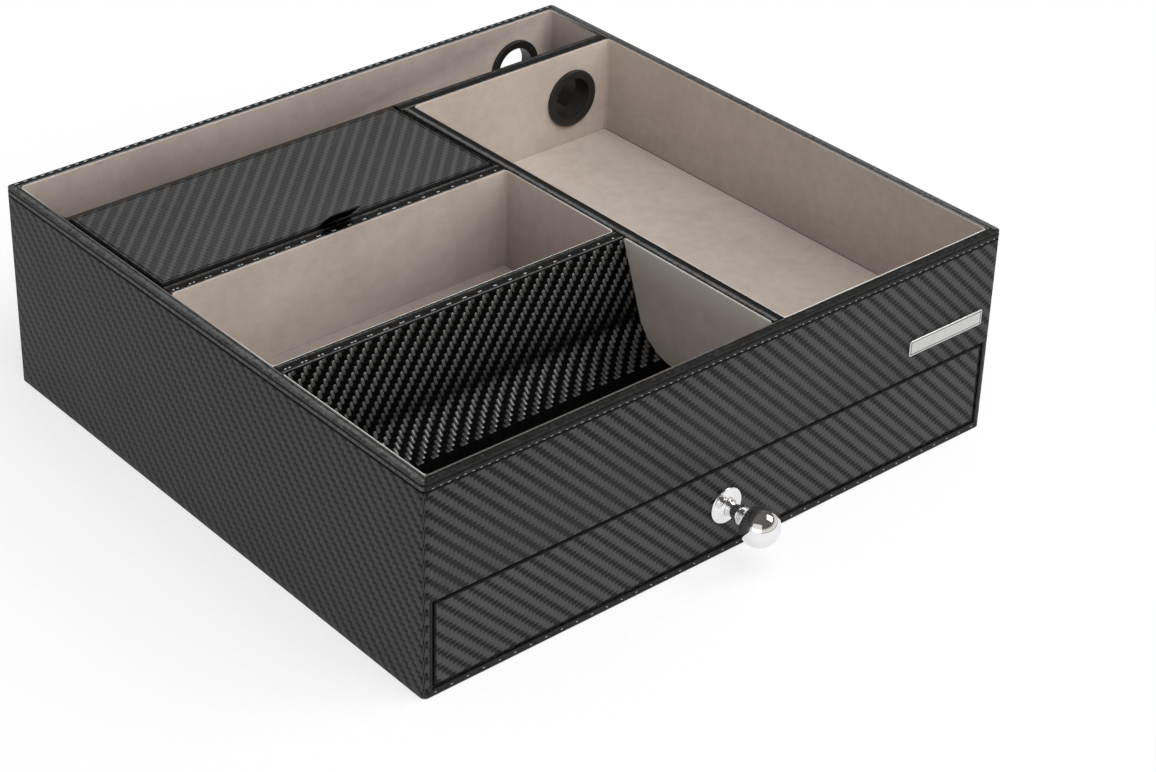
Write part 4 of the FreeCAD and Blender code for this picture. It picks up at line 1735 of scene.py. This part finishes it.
@dataclass(frozen=True)
class SuedeLinings(Assembly):
    """The suede in the bays: soft-cornered walls on floors whose edges dip into a crease.

    Attributes:
        cloth: The suede's thickness with its card.
        corner: The radius of the soft corners.
        dip: How far a floor's edge sinks.
        lift: How far a wall's top edge stands above the board.
        case_right: The painted light on the case's right wall.
        case_right_foot: The painted shade along its foot.
        bay_right: The painted shade on the right walls of the other bays.
        floor_front: The painted shade on the right bay's floor, growing towards its front.
        crease: The painted shadow in that floor's right crease.
        coin_edge: The painted shade on the coin bay's front top edge.
    """

    cloth: float = 0.7 * MM
    corner: float = 2.2 * MM
    dip: float = 0.12 * MM
    lift: float = 0.6 * MM
    case_right: float = 0.12
    case_right_foot: float = -0.18
    bay_right: float = -0.3
    floor_front: float = -0.25
    crease: float = -0.9
    coin_edge: float = -0.85

    def build(self) -> None:
        """Makes the walls and floors of every bay."""
        # Painted shade on each bay, deepest low in the narrow rear slot; the open bay's walls get
        # painted light at the top.
        self.build_walls("rear_slot_wall_lining", (0.15, 1.0), True)
        self.build_walls("right_bay_wall_lining", (0.0, 0.1), True)
        self.build_walls("open_bay_wall_lining", (-0.3, 0.25), False)
        self.build_coin_walls()
        self.build_floor("rear_slot_floor_lining", 0.95)
        self.build_floor("right_bay_floor_lining", 0.1)
        self.build_floor("open_bay_floor_lining", 0.6)
        for node in ("lid_bay_wall_lining", "lid_bay_floor_lining"):
            shape = Shape.of_node(node).round_edges(0.2 * MM)
            shape.finish(f"{node}_soft", self.finishes.suede, node)

    def walls(self, box: Extent, shade: Pair) -> Shape:
        """Gives the lining round a bay's four walls, with a painted highlight on its rolled top edge.

        Args:
            box: The lining's box.
            shade: How much painted shade it gets at the top and at the bottom.

        Returns:
            The lining, with its painted light and shade.
        """
        cloth, lift, low, high = self.cloth, self.lift, box.low.z, box.high.z
        # The rolled top edge is painted light, and the face gets painted shade from its top to its
        # foot.
        profile = [
            (0.0, low),
            (0.0, high),
            (cloth * 0.32, high, 1.0),
            (cloth * 0.4, high + lift * 0.8, 1.0),
            (cloth * 0.65, high + lift, 1.0),
            (cloth * 0.92, high + lift * 0.7, 1.0),
            (cloth, high, -shade[0]),
            (cloth, high - 0.4 * MM, -shade[0]),
            (cloth, low + 1.5 * MM, -shade[1]),
            (cloth, low, -shade[1]),
        ]
        outline = Outline(box.low.xy[:], box.high.xy[:], self.corner)
        return Shape().sweep(outline, profile, ends=Ends.JOINED)

    def build_walls(self, node: str, shade: Pair, has_grommet: bool) -> None:
        """Makes the lining round a bay's four walls.

        Args:
            node: The CAD node that it stands for.
            shade: How much painted shade it gets at the top and at the bottom.
            has_grommet: Whether a cable grommet goes through it.
        """
        box = Extent.of(node)
        back = box.high.y - self.corner
        side = box.high.x - self.corner
        case_side = Extent.of("right_bay_wall_lining").high.x - self.corner
        behind_lid = box.low.y > Extent.of("lid_leather").high.y

        def repainted(point: Vector, mark: float) -> float:
            """Takes the painted highlight off the far walls' top edges, paints the edge behind the lid
            black as shadow, and paints light and shade on the right walls.

            Args:
                point: A point of the lining.
                mark: Its mark.

            Returns:
                Its new mark.
            """
            if point.z > box.high.z - 0.1 * MM:
                if behind_lid and point.y < box.low.y + self.corner:
                    return -1.0
                return min(mark, 0.0) if point.y > back or point.x > case_side else mark
            if point.x > case_side:
                at_foot = point.z < box.low.z + 2 * MM
                return mark + (self.case_right_foot if at_foot else self.case_right)
            return mark + self.bay_right if point.x > side else mark

        shape = self.walls(box, shade).repaint(repainted)
        piece = shape.finish(f"{node}_soft", self.finishes.suede, node)
        if has_grommet:
            for bush in ("back_grommet_bush", "divider_grommet_bush"):
                bored(piece, Extent.of(bush).middle(), Grommets.seat, 9 * MM)

    def build_coin_walls(self) -> None:
        """Makes the lining on three walls of the coin bay; the ramp fills the fourth."""
        box = Extent.of("coin_bay_wall_lining")
        low, high, cloth = box.low, box.high, self.cloth
        back = high.y - self.corner
        front = low.y + self.corner * 0.5
        top = high.z - 0.1 * MM
        # Painted light at the walls' tops and painted shade at their feet.
        shape = self.walls(box, (-0.5, 0.25))
        shape.remove(
            lambda p: p.y > back and abs(p.x - low.x) > cloth and abs(p.x - high.x) > cloth,
            close=True,
        )
        # The front wall's top edge is painted dark as shade.
        shape.repaint(lambda p, mark: self.coin_edge if p.y < front and p.z > top else mark)
        shape.finish("coin_bay_walls_soft", self.finishes.suede, "coin_bay_wall_lining")

    def build_floor(self, node: str, shade: float) -> None:
        """Makes a bay's floor.

        Args:
            node: The CAD node that it stands for.
            shade: How much painted shade it gets.
        """
        box = Extent.of(node)
        outline = Outline(box.low.xy[:], box.high.xy[:], 0.5 * MM, 3)
        top = box.high.z
        profile = [
            (0.0, box.low.z, -shade),
            (0.0, top - self.dip, -shade),
            (self.cloth + 0.1 * MM, top - self.dip, -shade),
            (self.cloth + 0.7 * MM, top - self.dip * 0.3, -shade),
            (self.cloth + 1.6 * MM, top, -shade),
        ]
        shape = Shape().sweep(outline, profile)
        if node.startswith("right_bay"):
            length = box.high.y - box.low.y
            dark_from = box.high.x - self.cloth - 0.3 * MM

            def repainted(point: Vector, mark: float) -> float:
                """Paints shade on the floor, growing towards the front, and its right crease nearly
                black as shadow.

                Args:
                    point: A point of the floor.
                    mark: Its mark.

                Returns:
                    Its new mark.
                """
                if point.x > dark_from:
                    return self.crease
                return mark + self.floor_front * (box.high.y - point.y) / length

            shape.repaint(repainted)
        shape.finish(f"{node}_soft", self.finishes.suede, node)


@dataclass(frozen=True)
class CoinRamp(Assembly):
    """The glossy leather that slopes from the coin divider to the coin bay's floor.

    Attributes:
        lean: How far the slope leans, in degrees.
        bend: The radius of the bend at its foot.
        steps: How many parts the bend has.
        black_steps: How many of the last points of the bend and the foot are painted black, with no
            glint.
        top: The painted light on the top edge.
        shadow: The painted shadow where the slope ends and the bend starts.
        shadow_steps: Over how many points of the bend the painted shadow fades.
        painted_glint_step: How much more painted glint each further point gets.
        painted_side_light: How much more painted light the left edge gets than the middle, and how much
            less the right edge gets.
    """

    lean: float = 20.0
    bend: float = 22.0 * MM
    steps: int = 24
    black_steps: int = 8
    top: float = 0.3
    shadow: float = -0.95
    shadow_steps: int = 7
    painted_glint_step: float = 0.025
    painted_side_light: float = 0.12

    def build(self) -> None:
        """Makes the ramp's leather, with its weave laid along the slope."""
        box = Extent.of("coin_ramp_leather")
        top_y = Extent.of("coin_divider_binding").low.y
        floor_z = Extent.of("right_bay_floor_lining").high.z
        slope = math.radians(self.lean)
        foot_y = top_y - (box.high.z - floor_z) * math.tan(slope)
        centre_y = foot_y - self.bend * math.tan((math.pi / 2 - slope) / 2)
        centre = (centre_y, floor_z + self.bend)
        face = [(top_y, box.high.z)]
        face += arc(centre, self.bend, -self.lean, -90, self.steps)
        face += [(box.low.y, floor_z)]
        under = [(box.low.y, box.low.z)]
        under += arc(centre, self.bend + self.leather, -90, -self.lean, self.steps)
        under += [(box.high.y, box.high.z - 0.1 * MM), (box.high.y, box.high.z)]
        points = face + under
        lengths = [0.0]
        for first, second in zip(face, face[1:]):
            lengths.append(lengths[-1] + math.dist(first, second))
        lengths += [lengths[-1] + 1 * MM] * len(under)
        # Painted light and shade down the slope: light at the top edge, a shadow at the bend that fades
        # into glints growing brighter, and black at the foot.
        painted_light = [self.top]
        for k in range(len(face) - 1 - self.black_steps):
            painted_light.append(self.shadow * max(1 - k / self.shadow_steps, 0.0) + self.painted_glint_step * k)
        shape = Shape()
        layer = shape.mesh.loops.layers.uv.new(WEAVE_MAP)
        rings = []
        length_at: dict[bmesh.types.BMVert, float] = {}
        # The left edge gets more painted light and the right edge more painted shade.
        for x, more in ((box.low.x, self.painted_side_light), (box.high.x, -self.painted_side_light)):
            painted = [max(mark + more, -1.0) for mark in painted_light]
            painted += [-1.0] * (len(points) - len(painted_light))
            rings.append([shape.vert((x, *point), mark) for point, mark in zip(points, painted)])
            length_at.update(zip(rings[-1], lengths))
        shape.join(rings).turn_out()
        for made in shape.mesh.faces:
            for loop in made.loops:
                loop[layer].uv = (loop.vert.co.x, length_at[loop.vert])
        shape.finish("ramp_leather", self.finishes.gloss, "coin_ramp_leather")


@dataclass(frozen=True)
class Grommets(Assembly):
    """The two cable grommets: a flanged bush from the front and a ring behind.

    Attributes:
        seat: The radius of the holes that the bushes sit in.
        bore: The radius of a bush's bore.
        tube: The outer radius of a bush's tube.
        flange: The radius of a bush's flange and of its ring.
        lip: The thickness of both.
    """

    seat: float = 10.7 * MM
    bore: float = 9.3 * MM
    tube: float = 10.5 * MM
    flange: float = 13.0 * MM
    lip: float = 1.5 * MM

    def build(self) -> None:
        """Makes both grommets."""
        for place in ("back", "divider"):
            bush = Extent.of(f"{place}_grommet_bush")
            self.turn(place, "bush", "flange", self.bush_section(bush.high.y - bush.low.y))
            self.turn(place, "ring", "nut", self.ring_section())

    def bush_section(self, depth: float) -> list[Pair]:
        """Gives the section of a bush with a rounded flange.

        Args:
            depth: How deep the bush is.

        Returns:
            The section, closed.
        """
        bore, tube, flange, lip = self.bore, self.tube, self.flange, self.lip
        soft = 0.6 * MM
        section = arc((bore + soft, soft), soft, 180, 270, 5)
        section += arc((flange - soft, soft), soft, 270, 360, 5)
        return section + [(flange, lip), (tube, lip), (tube, depth), (bore, depth), section[0]]

    def ring_section(self) -> list[Pair]:
        """Gives the section of the ring that locks a bush from behind.

        Returns:
            The section, closed.
        """
        inner = self.tube + 0.05 * MM
        soft = 0.4 * MM
        section = [(inner, 0.0), (self.flange, 0.0)]
        section += arc((self.flange - soft, self.lip - soft), soft, 0, 90, 4)
        return section + [(inner, self.lip), (inner, 0.0)]

    def turn(self, place: str, part: str, name: str, section: Sequence[Pair]) -> None:
        """Turns one part of a grommet round its axis.

        Args:
            place: Which grommet it is.
            part: What the part is called in the CAD node's name.
            name: What it is called in the piece's name.
            section: Its section, closed.
        """
        node = f"{place}_grommet_{part}"
        box = Extent.of(node)
        centre = box.middle()
        centre.y = box.low.y
        shape = Shape().lathe(centre, section)
        bmesh.ops.remove_doubles(shape.mesh, verts=shape.mesh.verts, dist=1e-7)
        shape.turn_out().finish(f"{place}_grommet_{name}", self.finishes.plastic, node)


@dataclass(frozen=True)
class Badge(Assembly):
    """The bare metal plate on the front, with a fine groove inside its edge that is painted dark as
    shade.

    Attributes:
        corner: The plate's corner radius.
        border: How far the line is from the edge.
    """

    corner: float = 0.8 * MM
    border: float = 0.6 * MM

    def build(self) -> None:
        """Makes the plate."""
        box = Extent.of("badge_plate")
        outline = Outline((box.low.x, box.low.z), (box.high.x, box.high.z), self.corner, 6)
        back, face = -box.high.y, -box.low.y
        line = self.border
        # The groove's floor is painted black as shade.
        profile = [
            (0.0, back),
            (0.0, face - 0.15 * MM),
            (0.15 * MM, face),
            (line, face),
            (line + 0.05 * MM, face - 0.1 * MM, -1.0),
            (line + 0.35 * MM, face - 0.1 * MM, -1.0),
            (line + 0.4 * MM, face),
        ]
        shape = Shape().sweep(outline, profile, Facing.FRONT)
        shape.finish("badge_face", self.finishes.badge, "badge_plate", crisp=25.0)


@dataclass(frozen=True)
class Lid(Assembly):
    """The lid over the rear left bay, its pull tab, its hinge and the band round its seat.

    Attributes:
        roll: The radius of the leather's folded edges.
        tab_lean: How far the tab leans forward, in degrees.
        tab_spread: How much farther the tab's front ply leans.
        tab_reach: The length of the tab's leaning part.
        ply: The thickness of one ply of the tab.
        gap: The gap between the two plies.
        bulge: How far the plies bend apart.
        fold: The thickness of the leather that folds behind the lid.
    """

    roll: float = 0.8 * MM
    tab_lean: float = 46.0
    tab_spread: float = 8.0
    tab_reach: float = 12.6 * MM
    ply: float = 0.46 * MM
    gap: float = 0.06 * MM
    bulge: float = 0.25 * MM
    fold: float = 0.4 * MM

    def build(self) -> None:
        """Makes the lid's pieces."""
        self.build_cover()
        self.build_lining()
        self.build_tab()
        self.build_hinge()
        self.build_seat()

    def build_cover(self) -> None:
        """Makes the leather over the lid's top and edges."""
        box = Extent.of("lid_leather")
        outline = Outline(box.low.xy[:], box.high.xy[:], 0.9 * MM, 5)
        top, roll, leather = box.high.z, self.roll, self.leather
        profile = [(leather, top - leather), (leather, box.low.z), (0.0, box.low.z)]
        # The folded edge and the groove inside it are painted black as shade.
        profile += arc((roll, top - roll), roll, 180, 90, 6, -1.0)
        profile += [
            (1.0 * MM, top),
            (1.5 * MM, top),
            (1.65 * MM, top - 0.12 * MM, -1.0),
            (1.98 * MM, top - 0.12 * MM, -1.0),
            (2.15 * MM, top),
            (2.6 * MM, top),
        ]
        shape = Shape().sweep(outline, profile).lay_out(True).turn_out()
        shape.finish("lid_cover", self.finishes.lid_carbon, "lid_leather", body=Body.LID)

    def build_lining(self) -> None:
        """Makes the suede under the lid."""
        box = Extent.of("lid_lining")
        outline = Outline(box.low.xy[:], box.high.xy[:], 0.9 * MM, 5)
        edge = 0.3 * MM
        profile = [(edge, box.low.z), (0.0, box.low.z + edge), (0.0, box.high.z)]
        shape = Shape().sweep(outline, profile)
        shape.finish("lid_underside", self.finishes.suede, "lid_lining", body=Body.LID)

    def build_tab(self) -> None:
        """Makes the doubled leather strip that lifts the lid."""
        box = Extent.of("lid_pull_tab")
        lid = Extent.of("lid_leather")
        bend_z = Extent.of("rim_binding").high.z + 0.8 * MM
        shape = Shape()
        for ply in (0, 1):
            lean = math.radians(self.tab_lean + ply * self.tab_spread)
            self.add_ply(shape, box, lid.low.y, bend_z, lean, ply)
        shape.finish("lid_tab", self.finishes.strap, "lid_pull_tab", body=Body.LID)

    def add_ply(
        self, shape: Shape, box: Extent, back: float, bend_z: float, lean: float, ply: int
    ) -> None:
        """Adds one ply of the tab: upright along the lid's edge, round a bend and leaning forward.

        Args:
            shape: The mesh that it is added to.
            box: The tab's box.
            back: Where the lid's front edge is.
            bend_z: The height of the bend.
            lean: How far the tab leans, in radians.
            ply: 0 for the ply against the lid and 1 for the other.
        """
        soft = 1.2 * MM
        near = ply * (self.ply + self.gap)
        spots = []
        for z in (box.low.z + 0.05 * MM, bend_z - soft - 1.5 * MM, bend_z - soft):
            spots.append((Vector((back - near, z)), Vector((1, 0))))
        for k in range(1, 7):
            angle = lean * k / 6
            out = Vector((math.cos(angle), math.sin(angle)))
            spots.append((Vector((back - soft, bend_z - soft)) + out * (soft - near), out))
        foot, out = spots[-1]
        for share in (0.35, 0.7, 0.92, 1.0):
            lift = self.bulge * math.sin(math.pi * share) * (1 if ply == 0 else -0.4)
            rise = Vector((-out.y, out.x)) * (self.tab_reach - 0.5 * MM) * share
            spots.append((foot + rise + out * lift, out))
        half = (box.high.x - box.low.x) / 2
        widths = [1.0] * (len(spots) - 2) + [0.93, 0.72]
        rings = []
        for (spot, out), width in zip(spots, widths):
            ring = []
            for side, deep in ((-1, 0), (1, 0), (1, 1), (-1, 1)):
                x = box.middle().x + side * half * width
                ring.append(shape.vert((x, *(spot - out * self.ply * deep))))
            rings.append(ring)
        shape.join(rings).turn_out()

    def build_hinge(self) -> None:
        """Makes the leather that is glued behind the divider and folds onto the lid's back edge."""
        strip = Extent.of("lid_hinge_strip")
        glued = Shape.of_node("lid_hinge_strip").round_edges(0.15 * MM)
        glued.finish("hinge_strip_leather", self.finishes.strap, "lid_hinge_strip")
        lid = Extent.of("lid_leather")
        left, right, low = lid.low.x + 1 * MM, lid.high.x - 1 * MM, lid.low.z
        path = [
            (strip.high.y - 0.05 * MM, strip.high.z - 5 * MM),
            (strip.high.y, strip.high.z - 0.5 * MM),
            (strip.high.y - 0.1 * MM, strip.high.z + 0.7 * MM),
            (strip.high.y - 0.6 * MM, low + 0.1 * MM),
            (lid.high.y + 0.35 * MM, low + 0.9 * MM),
            (lid.high.y + 0.05 * MM, low + 1.6 * MM),
            (lid.high.y + 0.05 * MM, lid.high.z - 0.9 * MM),
        ]
        shape = Shape()
        rings = []
        for i, (y, z) in enumerate(path):
            before = path[max(i - 1, 0)]
            after = path[min(i + 1, len(path) - 1)]
            run = Vector((after[0] - before[0], after[1] - before[1])).normalized()
            outer = (y + run.y * self.fold, z - run.x * self.fold)
            ring = ((left, y, z), (right, y, z), (right, *outer), (left, *outer))
            rings.append([shape.vert(point) for point in ring])
        shape.join(rings).turn_out()
        fold = shape.finish("hinge_fold", self.finishes.strap, body=None, crisp=50.0)
        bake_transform(fold)

    def build_seat(self) -> None:
        """Makes the leather band round the lid's recess."""
        shape = Shape.of_node("lid_recess_band").round_edges(0.2 * MM).lay_out()
        shape.finish("recess_leather", self.finishes.edge, "lid_recess_band")


@dataclass(frozen=True)
class Drawer(Assembly):
    """The drawer: a leather-covered front on a wrapped box with a suede lining.

    Attributes:
        roll: The radius of the front's folded edges.
    """

    roll: float = 0.8 * MM

    def build(self) -> None:
        """Makes the drawer's pieces."""
        box = Extent.of("drawer_front_leather")
        outline = Outline((box.low.x, box.low.z), (box.high.x, box.high.z), 0.9 * MM, 5)
        back, face = -box.high.y, -box.low.y
        roll, leather = self.roll, self.leather
        # The back and the folded edges are painted black as shade, which fades out at the edge of the
        # face.
        profile = [(leather, face - leather), (leather, back), (0.0, back, -1.0)]
        profile += arc((roll, face - roll), roll, 180, 105, 5, -1.0)
        profile += [(roll + 0.05 * MM, face, -0.5), (roll + 0.3 * MM, face, 0.0)]
        shape = Shape().sweep(outline, profile, Facing.FRONT).turn_out().lay_out()
        shape.finish("drawer_cover", self.finishes.carbon, "drawer_front_leather", body=Body.DRAWER)
        for part in ("left_side", "right_side", "back_board", "bottom_board"):
            node = f"drawer_{part}"
            board = Shape.of_node(node).round_edges(0.35 * MM)
            board.finish(f"{node}_wrap", self.finishes.drawer_board, node, body=Body.DRAWER)
        for node in ("drawer_wall_lining", "drawer_floor_lining"):
            cloth = Shape.of_node(node).round_edges(0.2 * MM)
            cloth.finish(f"{node}_soft", self.finishes.suede, node, body=Body.DRAWER)


@dataclass(frozen=True)
class Knob(Assembly):
    """The chrome knob on its flared rosette.

    Attributes:
        rosette_radius: The rosette's radius.
        boss: The radius that its flare ends in.
        stem: The distance from the rosette to the collar.
        neck: The neck's radius at the rosette.
        throat: The neck's radius under the collar.
        collar: The radius of the ring under the ball.
        ball: The ball's radius.
    """

    rosette_radius: float = 7.4 * MM
    boss: float = 2.9 * MM
    stem: float = 6.6 * MM
    neck: float = 2.7 * MM
    throat: float = 3.2 * MM
    collar: float = 3.6 * MM
    ball: float = 7.8 * MM

    def build(self) -> None:
        """Makes the rosette and the ball with its neck."""
        rosette = Extent.of("knob_rosette")
        centre = rosette.middle()
        centre.y = rosette.high.y
        height = rosette.high.y - rosette.low.y
        rim = 1.0 * MM
        flare = self.rosette_radius - self.boss
        edge = 0.3 * MM
        profile = [(0.0, 0.0), (self.rosette_radius - 0.1 * MM, 0.0)]
        profile += [(self.rosette_radius, -0.15 * MM), (self.rosette_radius, -rim + edge)]
        profile += [(self.rosette_radius - edge, -rim)]
        for k in range(1, 9):
            angle = math.pi / 2 * k / 8
            depth = -rim - (height - rim) * (1 - math.cos(angle))
            profile.append((self.rosette_radius - edge - (flare - edge) * math.sin(angle), depth))
        profile += [(0.0, -height)]
        shape = Shape().lathe(centre, profile, 72)
        self.plate(shape, "rosette_chrome", "knob_rosette")
        self.build_ball(centre, height)

    def build_ball(self, centre: Vector, height: float) -> None:
        """Makes the ball, its two fine rings and its neck.

        Args:
            centre: The middle of the rosette's back.
            height: The rosette's height.
        """
        box = Extent.of("knob_ball")
        ball_y = box.low.y - centre.y + self.ball
        collar_y = height + self.stem
        ring = 0.65 * MM
        profile = [(0.0, -height + 0.05 * MM), (self.neck, -height + 0.05 * MM)]
        for k in range(8):
            share = k / 7
            depth = -height - (collar_y - 0.5 * MM - height) * share
            profile.append((self.neck + (self.throat - self.neck) * share**2, depth))
        profile.append((self.throat + 0.4 * MM, -collar_y + 0.1 * MM))
        for start in (collar_y, collar_y + ring):
            profile += [
                (self.collar - 0.15 * MM, -start),
                (self.collar, -start - 0.15 * MM),
                (self.collar, -start - ring + 0.2 * MM),
                (self.collar - 0.2 * MM, -start - ring + 0.02 * MM),
                (self.collar - 0.55 * MM, -start - ring),
            ]
        first = math.asin((self.collar - 0.5 * MM) / self.ball)
        for k in range(33):
            angle = first + (math.pi - first) * k / 32
            radius = max(self.ball * math.sin(angle), 0.0)
            profile.append((radius if k < 32 else 0.0, ball_y + self.ball * math.cos(angle)))
        shape = Shape().lathe(centre, profile, 72)
        self.plate(shape, "ball_chrome", "knob_ball")

    def plate(self, shape: Shape, name: str, node: str) -> None:
        """Makes a chrome piece on the drawer that stands for a CAD node."""
        shape.finish(name, self.finishes.chrome, node, body=Body.DRAWER, crisp=50.0)


@dataclass(frozen=True)
class Studio:
    """The floor, the lamps, the surroundings and the camera.

    Attributes:
        place: Where the camera is.
        azimuth: Its direction round the object, in degrees.
        elevation: Its height above the horizon, in degrees.
        roll: Its tilt, in degrees.
        lens: Its focal length, in millimetres.
        shift: How far its frame is moved, as shares of the width.
    """

    place: Vector = Vector((-599.2, -720.5, 594.9)) * MM
    azimuth: float = -38.93
    elevation: float = 29.68
    roll: float = 0.38
    lens: float = 86.2
    shift: Pair = (0.1, -0.1)

    def build(self) -> None:
        """Sets up the whole studio."""
        self.set_view()
        self.build_floor()
        self.build_world()
        self.add_lamp("key_lamp", (0.59, -0.43, 0.68), distance=1.7, size=0.8, power=9.0)
        self.add_lamp("soft_lamp", (-0.05, -0.5, 0.86), 2.4, 1.8, 42.0, mirrored=False)
        self.add_lamp("window", (-0.79, -0.51, 0.34), 1.6, 1.5, 5.0, lights=False)
        self.add_camera()

    @staticmethod
    def set_view() -> None:
        """Sets the plain colour view."""
        bpy.context.scene.view_settings.view_transform = "Standard"

    def build_floor(self) -> None:
        """Makes the pale floor, which keeps the object's shadow and fades to white far away."""
        plane = bmesh.new()
        bmesh.ops.create_circle(plane, cap_ends=True, radius=12.0, segments=64)
        floor = add_object("studio_floor", mesh_data("studio_floor", plane))
        recipe = Recipe("floor_pale")
        x, y, _ = recipe.split(recipe.place())
        distance = x.apply("SQRT", x * x + y * y)
        grain = recipe.noise(recipe.place(), 3 * MM, 3)
        recipe.dress(
            base_color=recipe.mix(grain.between(0.3, 0.7), grey(0.88), grey(0.92)), roughness=0.9
        )
        rays = recipe.node("ShaderNodeLightPath").outputs
        camera, glossy = Signal(recipe, rays["Is Camera Ray"]), Signal(recipe, rays["Is Glossy Ray"])
        white = recipe.node("ShaderNodeEmission", values={"Color": grey(1.0), "Strength": 1.0})
        fade = (0.68 + 0.32 * distance.between(0.17, 0.34)) * (camera + 0.85 * glossy)
        values = {0: fade, 1: recipe.shader.outputs[0], 2: white.outputs[0]}
        blend = recipe.node("ShaderNodeMixShader", values=values)
        recipe.feed(recipe.output.inputs[0], blend.outputs[0])
        floor.data.materials.append(recipe.material)

    def build_world(self) -> None:
        """Makes surroundings that are white where they are seen, and darker overhead in gloss."""
        world = bpy.data.worlds.new("studio")
        bpy.context.scene.world = world
        world.use_nodes = True
        graph = Graph(world.node_tree)
        graph.tree.nodes.clear()

        def background(colour: object, strength: float) -> bpy.types.NodeSocket:
            """Gives surroundings of one colour and strength."""
            values = {"Color": colour, "Strength": strength}
            return graph.node("ShaderNodeBackground", values=values).outputs[0]

        rays = graph.node("ShaderNodeLightPath").outputs
        direction = graph.node("ShaderNodeTexCoord").outputs["Generated"]
        height = graph.node("ShaderNodeSeparateXYZ", values={0: direction}).outputs["Z"]
        levels = ((0.0, 0.1), (0.03, 0.1), (0.06, 0.85), (0.27, 0.7), (0.42, 0.1), (1.0, 0.14))
        stops = [(place, grey(level, 0.08)) for place, level in levels]
        sky = graph.node("ShaderNodeValToRGB", {"stops": stops}, {0: height}).outputs[0]
        values = {0: rays["Is Glossy Ray"], 1: background(grey(1.0), 0.42), 2: background(sky, 1.0)}
        lit = graph.node("ShaderNodeMixShader", values=values)
        camera, through = (Signal(graph, rays[f"Is {kind} Ray"]) for kind in ("Camera", "Transmission"))
        seen = camera.apply("MAXIMUM", camera, through)
        values = {0: seen, 1: lit.outputs[0], 2: background(grey(1.0), 1.0)}
        shown = graph.node("ShaderNodeMixShader", values=values)
        graph.node("ShaderNodeOutputWorld", values={0: shown.outputs[0]})

    @staticmethod
    def add_lamp(
        name: str,
        toward: tuple[float, float, float],
        distance: float,
        size: float,
        power: float,
        mirrored: bool = True,
        lights: bool = True,
    ) -> None:
        """Adds a square soft lamp that looks at the object.

        Args:
            name: The lamp's name.
            toward: The direction from the object to the lamp.
            distance: How far away it is.
            size: The length of its side.
            power: Its power in watts.
            mirrored: Whether glossy surfaces show it.
            lights: Whether it lights dull surfaces.
        """
        light = bpy.data.lights.new(name, "AREA")
        light.size = size
        light.energy = power
        lamp = add_object(name, light)
        direction = Vector(toward).normalized()
        lamp.location = direction * distance
        lamp.rotation_euler = (-direction).to_track_quat("-Z", "Y").to_euler()
        lamp.visible_glossy = mirrored
        lamp.visible_diffuse = lights

    def add_camera(self) -> None:
        """Adds the camera at the photograph's place."""
        data = bpy.data.cameras.new("photo_camera")
        data.sensor_width = 36.0
        data.lens = self.lens
        data.shift_x, data.shift_y = self.shift
        data.clip_start = 0.05
        data.clip_end = 40.0
        camera = add_object("photo_camera", data)
        turn, rise = math.radians(self.azimuth), math.radians(self.elevation)
        back = Vector(
            (math.sin(turn) * math.cos(rise), -math.cos(turn) * math.cos(rise), math.sin(rise))
        )
        level = (-back).to_track_quat("-Z", "Y")
        camera.rotation_mode = "QUATERNION"
        camera.rotation_quaternion = level @ Quaternion((0, 0, 1), math.radians(self.roll))
        camera.location = self.place
        bpy.context.scene.camera = camera


def dress_frame(finishes: Finishes) -> None:
    """Gives every CAD node its finish.

    Args:
        finishes: The tray's finishes.
    """
    slots = finishes.by_slot()
    for name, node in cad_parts.items():
        for place in node.material_slots:
            slot = place.material.name.split(".")[0]
            if slot not in slots:
                raise ValueError(f"{name} has the unknown slot {slot}")
            place.material = slots[slot]


def main() -> None:
    """Builds the tray over its frame."""
    logging.basicConfig(level=logging.INFO, format="%(message)s")
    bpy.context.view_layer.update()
    finishes = Finishes()
    Studio().build()
    dress_frame(finishes)
    assemblies = (
        OuterShell,
        RimBinding,
        DividerCaps,
        SuedeLinings,
        CoinRamp,
        Grommets,
        Badge,
        Lid,
        Drawer,
        Knob,
    )
    for assembly in assemblies:
        assembly(finishes).build()


if __name__ == "__main__":
    main()
